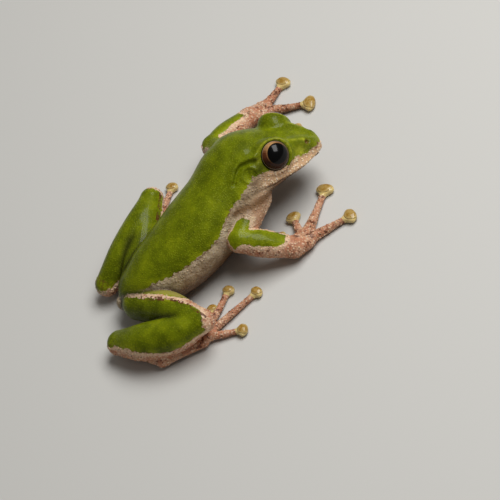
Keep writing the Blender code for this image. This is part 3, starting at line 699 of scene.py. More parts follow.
def skin_piece():
    """The skin's object, thinned a little so that it stays light."""
    rows = np.vstack([chain.rows for chain in (TRUNK_CHAIN, *LIMBS.values())])
    corners = [(x, y, z) for x in HEAD_BOX[0] for y in HEAD_BOX[1] for z in HEAD_BOX[2]]
    corners = HEAD_CENTRE + np.array(corners) @ HEAD_AXES.T
    low = np.minimum((rows[:, :3] - rows[:, 3:4]).min(axis=0), corners.min(axis=0)) - MARGIN
    high = np.maximum((rows[:, :3] + rows[:, 3:4]).max(axis=0), corners.max(axis=0)) + MARGIN
    low[2] = -1.5 * SKIN_STEP
    axes = [np.arange(low[axis], high[axis], SKIN_STEP) for axis in range(3)]
    vertices, quads = drawn_out(values_near_skin(axes), low)
    vertices = pressed_onto_skin(vertices)
    mesh = bpy.data.meshes.new("skin_dense")
    mesh.from_pydata((vertices * MM).tolist(), [], quads.tolist())
    dense = placed("skin_dense", mesh)
    collapse = dense.modifiers.new("thin", "DECIMATE")
    collapse.ratio = min(1.0, SKIN_TRIANGLES / (2 * len(quads)))
    collapse.use_collapse_triangulate = True
    thin = worked_out(dense, "skin")
    for vertex in thin.vertices:
        if vertex.co.z < CURL * MM:
            vertex.co.z = 0.0
    thin.shade_smooth()
    return placed("skin", thin)


skin = skin_piece()


# Where the skin changes colour
# The green of the back ends along the flanks, above the lips and part of the way round each limb.
# Every vertex keeps how many millimetres it lies inside the green, and how much it belongs to each
# of the other zones, so that the finish can draw sharp and ragged edges between them. Some zones are
# painted shade or painted highlights.

FLANK_EDGE = ((-7.5, 1.2), (-3.3, 1.9), (-0.5, 1.67), (2.3, 1.47), (4.1, 1.23), (6.0, 1.06), (7.5, 1.48),
              (9.0, 1.78), (10.8, 1.4), (14.0, 1.2))
LIP_EDGE = ((-6.5, -4.0), (-5.4, -3.0), (-4.9, -2.65), (-4.2, -2.05), (-3.8, -1.7), (-2.4, -1.65),
            (-1.8, -0.95), (-0.7, -0.9), (1.1, -1.05), (1.8, -0.95), (2.4, -0.85), (3.0, -1.2),
            (4.2, -1.0), (5.0, -0.95), (5.6, -0.9))
THIGH_STRIP = {"right": ((0, 12), (0.28, 7), (0.42, 0), (0.54, -15), (0.77, -29), (0.9, -21), (1.0, -8)),
               "left": ((0, -50), (0.42, -55), (0.58, -63), (1.0, -68))}
THIGH_BACK = math.radians(150)
THIGH_FRONT = math.radians(-95)
THIGH_FRONT_END = 0.55
THIGH_FRONT_GREEN = 0.3
UPPER_ARM_START = 0.57
UPPER_ARM_EDGES = (-35, 48)
FOREARM_EDGES = {"right": ((0, 64), (0.5, 50), (0.75, 45), (0.9, 12)), "left": ((0, 58), (1, 58))}
FOREARM_INNER = {"right": -35, "left": -25}
FOREARM_END = 0.88
SHANK_EDGE = ((0, 92), (0.4, 94), (0.55, 74), (0.75, 57), (1, 46))
SHANK_INNER = {"right": ((0, -125), (1, -125)), "left": ((0.6, -125), (0.8, -68))}
SHANK_END = {"right": 1.05, "left": 0.99}
TARSUS_END = 0.2
TARSUS_RISE = 2.1
GIRTHS = {"upper_arm": 1.5, "forearm": 1.6, "shank": 2.0}
DISC_REACH = 1.2
STRIP_TURN = math.radians(18)
STRIP = (1, 0.15)
SHANK_RIM = (0.5, 0.3)
KNEE_GREEN = 0.95
# How far from each knee the painted shade between thigh and shank begins
KNEE_CREASE = {"right": 2.4, "left": 5.5}
OUTSIDE = -2.0
ZONE_REACH = 0.35
ZONE_BLEND = 0.22
PINKISH = {"trunk": 0, "head": 0.42, "upper_arm": 0.45}
SPECKLED = {"trunk": 0, "head": 0.5, "upper_arm": 0.15, "forearm": 0.6, "thigh": 0.25, "shank": 0.55}

# Marks on the face and flanks, with the strength and the half breadth of each; some are painted shade or
# painted highlights
SNOUT_DOTS = ((4.94, 0.82, -0.82), (4.7, 1.22, -1.12))
SNOUT_DOT = (1, 0.17)
NOSTRIL_HOLE = (1, 0.25)
# Painted shade below the canthal ridge, and along the crease under the fold behind each eye
CANTHUS = ((1.5, 2.45, 0.6), (2.6, 2.0, 0.25), (3.4, 1.6, 0.0))
RIDGE_SHADE_LINE = (0.9, 0.36)
GRANULES = ((1.7, 2.1, 1.0), (2.53, 1.8, 0.78), (3.48, 1.35, 0.48))
GRANULE_LINE = (0.45, 0.2)
# Painted highlight on the face in front of each eye
LOREAL_HIGHLIGHT = (2.92, 2.48, -0.75)
LOREAL_HIGHLIGHT_SIZE = (0.9, 0.8)
# Painted highlight just above each nostril
NOSTRIL_HIGHLIGHT = (NOSTRIL[0] - 0.25, NOSTRIL[1], NOSTRIL[2] + 0.42)
NOSTRIL_HIGHLIGHT_SIZE = (0.8, 0.22)
# Painted shade behind and below each eye
SHADE_BEHIND_EYE = (-1.65, 5.0, -0.35)
SHADE_BEHIND_EYE_SPOT = (0.7, 0.8)
# Painted highlight along the upper rim of each lid, and how far from the lid it reaches
LID_HIGHLIGHT = (1, 0.13)
LID_HIGHLIGHT_REACH = (1, 0.5)
MOUTH_DARK = (1, 0.16)
JAW_SHADE = (1, 0.6)
FLANK_LINE = (0.55, 0.25)
BEADS_ABOVE = 0.4
FEWEST_BEADS = 0.04


def edge_height(where, line):
    return np.interp(where, [knot[0] for knot in line], [knot[1] for knot in line])


def band(turn, low, high, radius):
    """Millimetres inside the stretch of a limb's girth between two turns."""
    return np.minimum(turn - np.radians(low), np.radians(high) - turn) * radius


def knee_cap(points, flank):
    """Millimetres behind the edge where the green ends at the front of a knee."""
    knee, hip, heel = (np.array(LEGS[flank][joint]) for joint in ("knee", "hip", "heel"))
    return KNEE_GREEN - (points - knee) @ unit(unit(knee - hip) + unit(knee - heel))


def limb_zones(points, name, flank, chain, near):
    """Green, dashed strip, disc and pale front of one limb: how far each point lies inside them."""
    share, turn = chain.girth(points, (0, 1 if flank == "left" else -1, 0))
    strip, disc, front = np.zeros((3, len(points)))
    green = strip + OUTSIDE
    if name == "upper_arm":
        girth = band(turn, *UPPER_ARM_EDGES, GIRTHS[name])
        green = np.minimum((share - UPPER_ARM_START) * 5, girth)
    elif name == "forearm":
        outer = edge_height(share, FOREARM_EDGES[flank])
        girth = band(turn, FOREARM_INNER[flank], outer, GIRTHS[name])
        green = np.minimum(girth, (FOREARM_END - share) * 6)
    elif name == "thigh":
        edge = np.radians(edge_height(share, THIGH_STRIP[flank]))
        behind = np.minimum(turn - edge, THIGH_BACK - turn)
        before = np.minimum(edge - STRIP_TURN - turn, turn - THIGH_FRONT)
        before = np.minimum(before, (THIGH_FRONT_END - share) * 4)
        green = np.maximum(behind * 2, np.minimum(before * 2, THIGH_FRONT_GREEN))
        green = np.minimum(green, knee_cap(points, flank))
        front = np.clip(before * 8, 0, 1) * near
        strip = relief(turn - edge + STRIP_TURN * 0.1, STRIP) * near * np.clip((share - 0.05) * 8, 0, 1)
    elif name == "shank":
        inner, outer = (edge_height(share, line) for line in (SHANK_INNER[flank], SHANK_EDGE))
        girth = band(turn, inner, outer, GIRTHS[name])
        green = np.minimum(girth, (SHANK_END[flank] - share) * 9)
        green = np.minimum(green, knee_cap(points, flank))
        strip = relief(green, SHANK_RIM) * near
    elif name == "tarsus":
        green = np.minimum((TARSUS_END - share) * 8, (points[:, 2] - TARSUS_RISE) * 2)
    elif name.startswith(("finger", "toe")):
        radius = chain.rows[:, 3].max()
        away = np.linalg.norm((points - chain.rows[-1, :3])[:, :2], axis=1) / radius
        disc = np.clip(DISC_REACH - away, 0, 1) * near
    return green, strip, disc, front


def face_zones(places, side):
    """Painted highlight on the lid rim, painted shade in the socket and under the ridges, eardrum,
    nostril, and pale spots and painted highlights of one side of the face.
    """
    cone = eye_cone(places, side)
    out = np.linalg.norm(from_eye(places, side), axis=1)
    close = relief(np.maximum(out - LID_RADIUS, 0), LID_HIGHLIGHT_REACH)
    # Painted highlight along the upper rim of the lid, fading out lower down
    lid = relief(cone - 0.1, LID_HIGHLIGHT) * close * np.clip(places[:, 2] + 0.6, 0, 1)
    # Painted shade in the recess between the eyeball and its lid, and behind the eye
    socket = np.maximum((cone < -0.02) * (out < LID_RADIUS + 0.2),
                        mound(places, mirrored(SHADE_BEHIND_EYE, side), SHADE_BEHIND_EYE_SPOT))
    drum = np.clip((EARDRUM_RADIUS + 0.05 - from_eardrum(places, side)) * 5, 0, 1)
    dots = [mound(places, mirrored(dot, side), SNOUT_DOT) for dot in SNOUT_DOTS]
    nostril = np.maximum.reduce([mound(places, mirrored(NOSTRIL, side), NOSTRIL_HOLE), *dots])
    # Painted shade under the fold behind the eye and below the canthal ridge
    dark = np.maximum(line_mound(places, on_side(CREASE, side), RIDGE_SHADE_LINE),
                      line_mound(places, on_side(CANTHUS, side), RIDGE_SHADE_LINE))
    # Pale granules along the canthus, with painted highlights in front of the eye and above the nostril
    pale_and_highlit = np.maximum.reduce([line_mound(places, on_side(GRANULES, side), GRANULE_LINE),
                                mound(places, mirrored(LOREAL_HIGHLIGHT, side), LOREAL_HIGHLIGHT_SIZE),
                                mound(places, mirrored(NOSTRIL_HIGHLIGHT, side), NOSTRIL_HIGHLIGHT_SIZE)])
    return lid, socket, drum, nostril, dark, pale_and_highlit


def skin_zones(points):
    """The zones that colour the skin, by name, as one value for each point."""
    parts = part_distances(points)
    places = in_head(points)
    middles = TRUNK_CHAIN.rows
    middle = np.stack([np.interp(points[:, 0], middles[:, 0], middles[:, k]) for k in range(3)], axis=1)
    rise = (points - middle) @ TRUNK_UP
    greens = {"trunk": rise - edge_height(points[:, 0], FLANK_EDGE),
              "head": places[:, 2] - edge_height(places[:, 0], LIP_EDGE)}
    others = np.zeros((3, len(points)))
    for (name, flank), chain in LIMBS.items():
        near = parts[name, flank] < ZONE_REACH
        greens[name, flank], *zones = limb_zones(points, name, flank, chain, near)
        others = np.maximum(others, zones)
    strips, discs, fronts = others

    # Each point belongs mostly to the part that it is nearest to
    distances = np.stack(list(parts.values()), axis=1)
    weights = np.exp(-(distances - distances.min(axis=1, keepdims=True)) / ZONE_BLEND)
    weights /= weights.sum(axis=1, keepdims=True)
    kinds = [name if isinstance(name, str) else name[0] for name in parts]
    green = np.sum(weights * np.stack([greens[name] for name in parts], axis=1), axis=1)
    pink, speck = (np.sum(weights * [table.get(kind, 1) for kind in kinds], axis=1)
                   for table in (PINKISH, SPECKLED))
    share_of = dict(zip(parts, weights.T))
    on_head, on_trunk = share_of["head"], share_of["trunk"]
    # Painted shade in the creases where each thigh meets the trunk, and between thigh and shank away
    # from the knee
    crease = 0
    for flank in SIDES:
        thigh, shank = share_of["thigh", flank], share_of["shank", flank]
        away = np.linalg.norm(points - np.array(LEGS[flank]["knee"]), axis=1)
        fold = thigh * shank * np.clip((away - KNEE_CREASE[flank]) / 1.5, 0, 1)
        crease = np.clip(crease + 4 * (fold + thigh * on_trunk), 0, 1)

    above = above_mouth(places)
    lip = np.clip((above + 0.1) / 0.2, 0, 1) * np.clip(-green / 0.15, 0, 1) * on_head
    mouth = relief(above + 0.02, MOUTH_DARK) * in_mouth(places) * on_head
    faces = np.maximum(face_zones(places, "right"), face_zones(places, "left"))
    lid, socket, drum, nostril, dark, pale_and_highlit = faces
    line = relief(green + 0.05, FLANK_LINE) * on_trunk * np.clip((11 - points[:, 0]) / 2, 0, 1)
    # Painted shade: darker towards the belly and the chest, below the mouth and under the jaw, over the
    # tan of the underside
    under_jaw = relief(above + 0.85, JAW_SHADE) * np.clip((places[:, 0] + 7.2) / 1.5, 0, 1)
    shaded_underside = np.clip(0.3 - rise / 3.4 + np.clip((points[:, 0] - 8.5) / 4, 0, 0.5), 0, 1) * on_trunk
    shaded_underside = np.maximum(shaded_underside + on_head * np.clip(-above / 0.8, 0, 1), 0.9 * under_jaw)
    granular = np.clip(-green / 0.2, 0, 1) * np.clip(1 - 5 * discs, 0, 1) * (1 - mouth) * (socket < 0.1)
    granular = granular * np.clip((points[:, 2] - BEADS_ABOVE) / 0.2, 0, 1)
    granular = granular * np.maximum(np.maximum(pink, lip), FEWEST_BEADS)
    return {
        "green": green, "pink": pink, "speck": speck, "disc": discs, "lip": lip, "mouth": mouth,
        "lid": lid, "socket": socket, "dark": dark * on_head, "pale_and_highlit": pale_and_highlit * on_head,
        "crease": crease, "front": fronts, "granular": granular, "eardrum": drum * on_head,
        "nostril": nostril, "edge": np.maximum(strips, line), "shaded_underside": shaded_underside,
    }


def keep_zones(piece):
    places = np.empty(len(piece.data.vertices) * 3)
    piece.data.vertices.foreach_get("co", places)
    for name, values in skin_zones(places.reshape(-1, 3) / MM).items():
        layer = piece.data.attributes.new(name, "FLOAT", "POINT")
        layer.data.foreach_set("value", values.astype(np.float32))


keep_zones(skin)


# Skin finish
# Moist, finely grained skin: yellow-olive green above, pale and granular along the flanks and lips,
# tan below, pinkish on the hands and feet with dark red-brown specks, and yellow on the discs. Shade
# is painted towards the belly and throat, in the eye sockets, in creases and under the folds, and
# highlights are painted on the lid rims and on spots of the face.

DORSAL = (0.136, 0.168, 0.002, 1)
DORSAL_LIGHT = (0.300, 0.330, 0.006, 1)
DORSAL_DARK = (0.045, 0.060, 0.001, 1)
# Green of the painted highlights on the face, and of the pale canthal granules
PALE_AND_HIGHLIGHT_GREEN = (0.430, 0.450, 0.030, 1)
OLIVE = (0.33, 0.28, 0.075, 1)
FLANK = (0.62, 0.50, 0.34, 1)
FLANK_GREY = (0.23, 0.155, 0.085, 1)
# Tan of the underside, darkened to stand for painted shade
SHADED_TAN = (0.130, 0.062, 0.022, 1)
LIMB = (0.45, 0.195, 0.110, 1)
LIMB_PALE = (0.74, 0.52, 0.35, 1)
SPECK = (0.100, 0.026, 0.012, 1)
LIP = (0.60, 0.38, 0.22, 1)
LIP_PALE = (0.90, 0.72, 0.52, 1)
MOUTH = (0.14, 0.045, 0.018, 1)
DISC = (0.30, 0.160, 0.022, 1)
DISC_EDGE = (0.64, 0.49, 0.20, 1)
# Near-black of the painted shade in the eye sockets and in the creases
PAINTED_SHADE = (0.010, 0.010, 0.003, 1)
DRUM = (0.078, 0.066, 0.006, 1)
GRAINS_PER_METRE = 4600
WARTS_PER_METRE = 2800
DOTS_PER_METRE = 800
BUMP_HEIGHT = 0.00008


class Nodes:
    """Helpers that add nodes to one tree."""

    def __init__(self, tree):
        self.tree = tree

    def feed(self, node, inputs):
        """Set or link a node's inputs, each by its name or number."""
        for socket, value in inputs.items():
            if isinstance(value, bpy.types.NodeSocket):
                self.tree.links.new(value, node.inputs[socket])
            else:
                node.inputs[socket].default_value = value

    def add(self, kind, inputs=None, **settings):
        """The outputs of a new node."""
        made = self.tree.nodes.new(kind)
        for key, value in settings.items():
            setattr(made, key, value)
        self.feed(made, inputs or {})
        return made.outputs


class Shading(Nodes):
    """The nodes of one material."""

    def __init__(self, name):
        self.material = bpy.data.materials.new(name)
        self.material.use_nodes = True
        super().__init__(self.material.node_tree)

    def finish(self, inputs):
        """Set or link the shader's own sockets."""
        self.feed(self.tree.nodes["Principled BSDF"], inputs)
        return self.material

    def zone(self, name):
        return self.add("ShaderNodeAttribute", attribute_name=name)["Fac"]

    def math(self, operation, first, second):
        return self.add("ShaderNodeMath", {0: first, 1: second}, operation=operation)[0]

    def times(self, first, second):
        return self.math("MULTIPLY", first, second)

    def ramp(self, value, low, high, first=0.0, second=1.0):
        inputs = {"Value": value, "From Min": low, "From Max": high, "To Min": first, "To Max": second}
        return self.add("ShaderNodeMapRange", inputs, interpolation_type="SMOOTHSTEP")["Result"]

    def coats(self, colour, *others):
        """A colour with others laid over it in turn, each by its share."""
        for share, over in others:
            inputs = {"Factor": share, 6: colour, 7: over}
            colour = self.add("ShaderNodeMix", inputs, data_type="RGBA")[2]
        return colour

    def noise(self, place, scale, detail=2.0, rough=0.5):
        inputs = {"Vector": place, "Scale": scale, "Detail": detail, "Roughness": rough}
        return self.add("ShaderNodeTexNoise", inputs)["Fac"]

    def cells(self, place, scale):
        return self.add("ShaderNodeTexVoronoi", {"Vector": place, "Scale": scale})["Distance"]


def skin_finish():
    paint = Shading("frog_skin")
    zone, ramp, times, coats = paint.zone, paint.ramp, paint.times, paint.coats
    place = paint.add("ShaderNodeTexCoord")["Object"]
    mottle = paint.noise(place, 420, 5, 0.65)
    grains = paint.cells(place, GRAINS_PER_METRE)
    warts = paint.cells(place, WARTS_PER_METRE)
    ragged = paint.math("SUBTRACT", paint.noise(place, 2000, 3, 0.6), 0.5)
    inside = paint.math("ADD", zone("green"), ragged)
    in_green = ramp(inside, -0.06, 0.06)
    tip = zone("disc")

    # Painted highlights on the upper lid rims and on spots of the face, with the pale canthal granules
    highlights_and_granules = paint.math("MAXIMUM", times(zone("lid"), 0.6), zone("pale_and_highlit"))
    back = coats(
        DORSAL_DARK,
        (ramp(mottle, 0.3, 0.62, 0.35, 1), DORSAL),
        (ramp(mottle, 0.5, 0.8, 0, 0.5), DORSAL_LIGHT),
        (ramp(grains, 0.05, 0.5, 0.4, 0), DORSAL_LIGHT),
        (ramp(paint.cells(place, DOTS_PER_METRE), 0.05, 0.13, 0.6, 0), DORSAL_DARK),
        (times(ramp(zone("green"), 0.0, 0.9, 0.55, 0), ramp(mottle, 0.4, 0.6)), DORSAL_LIGHT),
        # Painted shade under the folds and the canthal ridges
        (zone("dark"), DORSAL_DARK),
        (times(zone("eardrum"), 0.9), DRUM),
        (times(highlights_and_granules, ramp(paint.noise(place, 2400), 0.3, 0.6, 0.35, 1)), PALE_AND_HIGHLIGHT_GREEN),
        (times(zone("front"), ramp(mottle, 0.3, 0.6, 1, 0.6)), OLIVE),
    )
    rosy = ramp(paint.noise(place, 800), 0.35, 0.65, -0.25, 0.2)
    rim = times(ramp(inside, -0.8, -0.3), ramp(paint.noise(place, 1800), 0.28, 0.5))
    limb = coats(
        LIMB_PALE,
        (paint.math("ADD", ramp(warts, 0.1, 0.5, 0.1, 0.95), rosy), LIMB),
        (times(rim, 0.9), LIMB_PALE),
    )
    lip = coats(
        LIP_PALE,
        (ramp(warts, 0.1, 0.5, 0.1, 1), LIP),
        (ramp(zone("bead"), 0.3, 1, 0, 0.8), LIP_PALE),
    )
    blotches = paint.math("ADD", paint.noise(place, 1500, 4, 0.65), ramp(zone("speck"), 0, 1, -0.14, 0))
    pale = coats(
        FLANK,
        (ramp(paint.noise(place, 900, 4, 0.65), 0.42, 0.62, 0.6, 0), FLANK_GREY),
        (ramp(zone("pink"), 0.1, 0.8), limb),
        (ramp(zone("bead"), 0.3, 1, 0, 0.75), LIMB_PALE),
        # Painted shade towards the belly, chest and throat, over the tan underside
        (zone("shaded_underside"), SHADED_TAN),
        (zone("lip"), lip),
        (ramp(blotches, 0.53, 0.62, 0, 0.85), SPECK),
        (times(zone("mouth"), 0.75), MOUTH),
    )
    pad = coats(
        DISC_EDGE,
        (ramp(tip, 0.2, 0.75), DISC),
        (ramp(paint.noise(place, 2600), 0.4, 0.65, 0.3, 0), DISC_EDGE),
    )
    dashes = times(ramp(paint.noise(place, 3000), 0.48, 0.54), ramp(zone("edge"), 0.3, 0.65))
    colour = coats(
        pale,
        (in_green, back),
        (times(dashes, 0.9), SPECK),
        (ramp(tip, 0.02, 0.1), pad),
        (zone("nostril"), MOUTH),
        # Painted shade in the eye sockets and in the creases by the thighs and knees
        (times(zone("socket"), 0.9), PAINTED_SHADE),
        (times(zone("crease"), 0.8), PAINTED_SHADE),
    )

    # Fine grains everywhere, coarser warts outside the green, and a groove round each disc
    coarse = times(ramp(warts, 0.0, 0.6, 1.2, 0), paint.math("SUBTRACT", 1, in_green))
    height = paint.math("ADD", times(ramp(grains, 0.0, 0.6, 1, 0), 0.5), coarse)
    flat = paint.math("MAXIMUM", ramp(tip, 0.05, 0.15), zone("eardrum"))
    height = times(height, paint.math("SUBTRACT", 1, flat))
    groove = times(ramp(tip, 0.28, 0.36), ramp(tip, 0.38, 0.46, 1, 0))
    height = paint.math("SUBTRACT", height, times(groove, 1.2))
    bump = paint.add("ShaderNodeBump", {"Strength": 0.8, "Distance": BUMP_HEIGHT, "Height": height})
    fine = ramp(paint.noise(place, 5200), 0.3, 0.7, 0.3, 0.46)
    return paint.finish({
        "Base Color": colour,
        "Normal": bump["Normal"],
        "Roughness": paint.math("SUBTRACT", fine, ramp(tip, 0.05, 0.2, 0, 0.2)),
        "Specular IOR Level": 0.08,
        "Specular Tint": (0.9, 0.92, 0.6, 1),
        "Coat Weight": ramp(tip, 0.05, 0.2, 0.13, 0.6),
        "Coat Roughness": 0.14,
        "Subsurface Weight": 0.15,
        "Subsurface Radius": (0.5, 0.3, 0.1),
        "Subsurface Scale": 0.001,
    })


skin.data.materials.append(skin_finish())
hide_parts(*[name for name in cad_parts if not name.startswith("eye")])
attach(skin, "root")


# Granules
# The skin of the lips, throat, hands and feet is granular: low beads, each a third of a millimetre
# across at most, which catch the light. They are scattered over the skin and share its finish.

BEADS_PER_SQUARE_METRE = 6.5e6
BEAD_SPACING = 0.00026
BEAD_RADIUS = 0.00015
BEAD_FLATNESS = 0.5
BEAD_SEED = 4
LEAST_SHADE = 0.2
LEAST_SIZE = 0.55


def granule_tree(finish):
    """Geometry nodes that set flattened beads on a skin, as thick as its granular zone asks."""
    tree = bpy.data.node_groups.new("granules", "GeometryNodeTree")
    tree.interface.new_socket("Skin", in_out="INPUT", socket_type="NodeSocketGeometry")
    for name in ("Density", "Spacing", "Radius", "Flatness"):
        tree.interface.new_socket(name, in_out="INPUT", socket_type="NodeSocketFloat")
    tree.interface.new_socket("Seed", in_out="INPUT", socket_type="NodeSocketInt")
    tree.interface.new_socket("Beads", in_out="OUTPUT", socket_type="NodeSocketGeometry")

    add = Nodes(tree).add
    given = add("NodeGroupInput")
    granular = add("GeometryNodeInputNamedAttribute", {"Name": "granular"}, data_type="FLOAT")
    spots = add("GeometryNodeDistributePointsOnFaces", {
        "Mesh": given["Skin"], "Density Max": given["Density"], "Distance Min": given["Spacing"],
        "Seed": given["Seed"], "Density Factor": granular["Attribute"]}, distribute_method="POISSON")
    shade, size = (add("FunctionNodeRandomValue", {2: least, 3: 1.0, "Seed": seed}, data_type="FLOAT")[1]
                   for least, seed in ((LEAST_SHADE, 1), (LEAST_SIZE, 2)))
    marked = add("GeometryNodeStoreNamedAttribute", {
        "Geometry": spots["Points"], "Name": "bead", "Value": shade}, data_type="FLOAT", domain="POINT")
    ball = add("GeometryNodeMeshIcoSphere", {"Subdivisions": 2, "Radius": given["Radius"]})
    squash = add("ShaderNodeCombineXYZ", {"X": 1.0, "Y": 1.0, "Z": given["Flatness"]})
    bead = add("GeometryNodeTransform", {"Geometry": ball["Mesh"], "Scale": squash["Vector"]})
    beads = add("GeometryNodeInstanceOnPoints", {
        "Points": marked["Geometry"], "Instance": bead["Geometry"], "Rotation": spots["Rotation"],
        "Scale": size})
    real = add("GeometryNodeRealizeInstances", {"Geometry": beads["Instances"]})
    smooth = add("GeometryNodeSetShadeSmooth", {"Geometry": real["Geometry"]})
    painted = add("GeometryNodeSetMaterial", {"Geometry": smooth["Geometry"], "Material": finish})
    add("NodeGroupOutput", {"Beads": painted["Geometry"]})
    return tree


def granules_piece(finish):
    carrier = placed("granule_carrier", skin.data)
    scatter = carrier.modifiers.new("granules", "NODES")
    scatter.node_group = granule_tree(finish)
    values = {"Density": BEADS_PER_SQUARE_METRE, "Spacing": BEAD_SPACING, "Radius": BEAD_RADIUS,
              "Flatness": BEAD_FLATNESS, "Seed": BEAD_SEED}
    for item in scatter.node_group.interface.items_tree:
        if item.name in values:
            scatter[item.identifier] = values[item.name]
    return placed("skin_granules", worked_out(carrier, "skin_granules"))


granules = granules_piece(skin.data.materials[0])
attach(granules, "root")


# Eyes
# Two wet, glossy balls that stand out from their lids. The pupil is round and black, and the iris
# is red-brown, golden at the upper back, with a thin pale ring round it.

GAZE = (0.37, 0.75, 0.54)
BALL_RINGS = 64
BALL_SIDES = 96
PUPIL = math.radians(40)
IRIS = math.radians(58)
IRIS_MIDDLE = (-0.15, -0.12, 0)
IRIS_BROWN = (0.034, 0.010, 0.004, 1)
IRIS_GOLD = (0.50, 0.28, 0.11, 1)
IRIS_RUST = (0.130, 0.036, 0.010, 1)
IRIS_RING = (0.34, 0.29, 0.20, 1)
GOLDEN_WAY = (-0.55, 0.83, 0)
BALL_DARK = (0.008, 0.005, 0.003, 1)
PUPIL_BLACK = (0.0015, 0.0015, 0.0015, 1)


def eye_piece(side):
    """A whole ball, on which each vertex keeps its turn from the gaze, forwards and upwards."""
    gaze = unit(mirrored(GAZE, side))
    forwards = unit(np.array((1, 0, 0)) - gaze[0] * gaze)
    upwards = np.cross(forwards, gaze)
    upwards = upwards * np.sign(upwards[2])
    centre = np.array(mirrored(EYE, side))
    vertices, flat = [], []
    for ring in range(BALL_RINGS + 1):
        turn = math.pi * ring / BALL_RINGS
        for k in range(1 if ring in (0, BALL_RINGS) else BALL_SIDES):
            angle = 2 * math.pi * k / BALL_SIDES
            across = math.cos(angle) * forwards + math.sin(angle) * upwards
            spot = centre + EYE_OVAL * EYE_RADIUS * (math.cos(turn) * gaze + math.sin(turn) * across)
            vertices.append((HEAD_CENTRE + HEAD_AXES @ spot) * MM)
            flat.append((turn * math.cos(angle), turn * math.sin(angle), 0))
    faces = []
    last = len(vertices) - 1
    for k in range(BALL_SIDES):
        ahead = (k + 1) % BALL_SIDES
        faces.append((0, 1 + k, 1 + ahead))
        for ring in range(BALL_RINGS - 2):
            row = 1 + ring * BALL_SIDES
            faces.append((row + k, row + BALL_SIDES + k, row + BALL_SIDES + ahead, row + ahead))
        faces.append((last - BALL_SIDES + k, last, last - BALL_SIDES + ahead))
    if np.linalg.det(np.stack([forwards, upwards, gaze])) < 0:
        faces = [tuple(reversed(face)) for face in faces]
    mesh = bpy.data.meshes.new(f"eyeball_{side}")
    mesh.from_pydata([tuple(vertex) for vertex in vertices], [], faces)
    layer = mesh.attributes.new("iris_place", "FLOAT_VECTOR", "POINT")
    layer.data.foreach_set("vector", np.array(flat, dtype=np.float32).ravel())
    mesh.shade_smooth()
    return placed(f"eyeball_{side}", mesh)


def eye_finish():
    paint = Shading("frog_eye")
    ramp, times, coats = paint.ramp, paint.times, paint.coats
    place = paint.add("ShaderNodeAttribute", attribute_name="iris_place")["Vector"]

    def vector(operation, *inputs):
        return paint.add("ShaderNodeVectorMath", dict(enumerate(inputs)), operation=operation)

    turn = vector("LENGTH", place)["Value"]
    limbus = vector("LENGTH", vector("SUBTRACT", place, IRIS_MIDDLE)["Vector"])["Value"]
    direction = vector("NORMALIZE", place)["Vector"]
    streaks = paint.noise(direction, 9, 4, 0.65)
    flecks = paint.noise(place, 14, 4, 0.6)
    golden = vector("DOT_PRODUCT", direction, GOLDEN_WAY)["Value"]
    lit = paint.math("ADD", golden, times(streaks, 0.4))
    inner = times(ramp(turn, PUPIL, PUPIL + 0.03), ramp(turn, PUPIL + 0.04, PUPIL + 0.1, 1, 0))
    ring = times(ramp(limbus, IRIS - 0.04, IRIS - 0.01), ramp(limbus, IRIS, IRIS + 0.03, 1, 0))
    colour = coats(
        IRIS_BROWN,
        (ramp(lit, 0.1, 0.9), IRIS_RUST),
        (ramp(lit, 0.85, 1.3), IRIS_GOLD),
        (ramp(flecks, 0.45, 0.7, 0, 0.6), BALL_DARK),
        (times(inner, ramp(lit, -0.4, 1.2, 0.02, 0.5)), IRIS_GOLD),
        (ramp(limbus, IRIS - 0.02, IRIS + 0.02), BALL_DARK),
        (times(ring, 0.6), IRIS_RING),
        (ramp(turn, PUPIL - 0.02, PUPIL + 0.02, 1, 0), PUPIL_BLACK),
    )
    return paint.finish({
        "Base Color": colour,
        "Roughness": 0.25,
        "Specular IOR Level": 0.05,
        "Coat Weight": 0.6,
        "Coat Roughness": 0.09,
        "Coat IOR": 1.32,
    })


eye_gloss = eye_finish()
for side in SIDES:
    eyeball = eye_piece(side)
    eyeball.data.materials.append(eye_gloss)
    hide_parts(f"eye_{side}")
    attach(eyeball, "root")


# Floor
# A plain pale sheet under the frog, which isn't part of it.

FLOOR_HALF = 1.5
FLOOR_PALE = (0.58, 0.57, 0.54, 1)


def floor_piece():
    mesh = bpy.data.meshes.new("floor")
    corners = [(x * FLOOR_HALF, y * FLOOR_HALF, 0) for x, y in ((-1, -1), (1, -1), (1, 1), (-1, 1))]
    mesh.from_pydata(corners, [], [(0, 1, 2, 3)])
    mesh.materials.append(Shading("floor_paper").finish({"Base Color": FLOOR_PALE, "Roughness": 0.8}))
    return placed("floor", mesh)


floor_piece()


# Light
# A broad softbox high in front of the frog, which also makes the window in its eye, in a pale room.

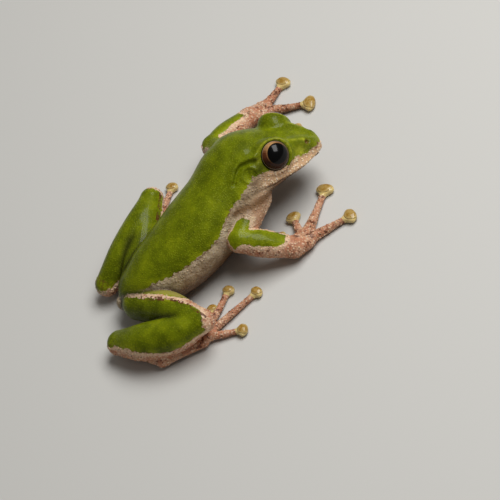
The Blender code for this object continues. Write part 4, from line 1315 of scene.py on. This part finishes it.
SOFTBOX_SPOT = (0.17, -0.03, 0.27)
SOFTBOX_AIM = (0.006, 0, 0.004)
SOFTBOX_SIZE = (0.27, 0.16)
SOFTBOX_WATTS = 1.12
ROOM_COLOUR = (0.82, 0.8, 0.76, 1)
ROOM_STRENGTH = 0.18


def softbox():
    lamp = bpy.data.lights.new("overhead_softbox", "AREA")
    lamp.shape = "RECTANGLE"
    lamp.size, lamp.size_y = SOFTBOX_SIZE
    lamp.energy = SOFTBOX_WATTS
    light = placed("overhead_softbox", lamp)
    light.location = SOFTBOX_SPOT
    aim = Vector(SOFTBOX_AIM) - Vector(SOFTBOX_SPOT)
    light.rotation_euler = aim.to_track_quat("-Z", "Y").to_euler()


softbox()
room = bpy.data.worlds.new("room")
room.use_nodes = True
room.node_tree.nodes["Background"].inputs["Color"].default_value = ROOM_COLOUR
room.node_tree.nodes["Background"].inputs["Strength"].default_value = ROOM_STRENGTH
bpy.context.scene.world = room
bpy.context.scene.view_settings.view_transform = "Standard"


# Camera
# It looks down at half a right angle from the frog's right, from about 32 cm away. The picture's
# middle lies a little off the line of sight, as in the photograph.

CAMERA_SPOT = (-16.58, -227.39, 230.27)
CAMERA_BACK = np.array((-0.0739, -0.7032, 0.7071))
CAMERA_UP = np.array((0.631, 0.5161, 0.5792))
PIXELS = 500
FOCAL_PIXELS = 2720
MIDDLE = (222, 232)
SENSOR = 36


def photo_camera():
    right = np.cross(CAMERA_UP, CAMERA_BACK)
    look = unit(-CAMERA_BACK * FOCAL_PIXELS + right * (PIXELS / 2 - MIDDLE[0])
                - CAMERA_UP * (PIXELS / 2 - MIDDLE[1]))
    right = unit(np.cross(CAMERA_UP, -look))
    up = np.cross(-look, right)
    lens = bpy.data.cameras.new("photo_view")
    lens.sensor_width = SENSOR
    lens.lens = FOCAL_PIXELS / PIXELS * SENSOR
    lens.clip_start = 0.01
    camera = placed("photo_view", lens)
    turned = Matrix((right, up, -look)).transposed().to_4x4()
    camera.matrix_world = Matrix.Translation(Vector(CAMERA_SPOT) * MM) @ turned
    return camera


bpy.context.scene.camera = photo_camera()
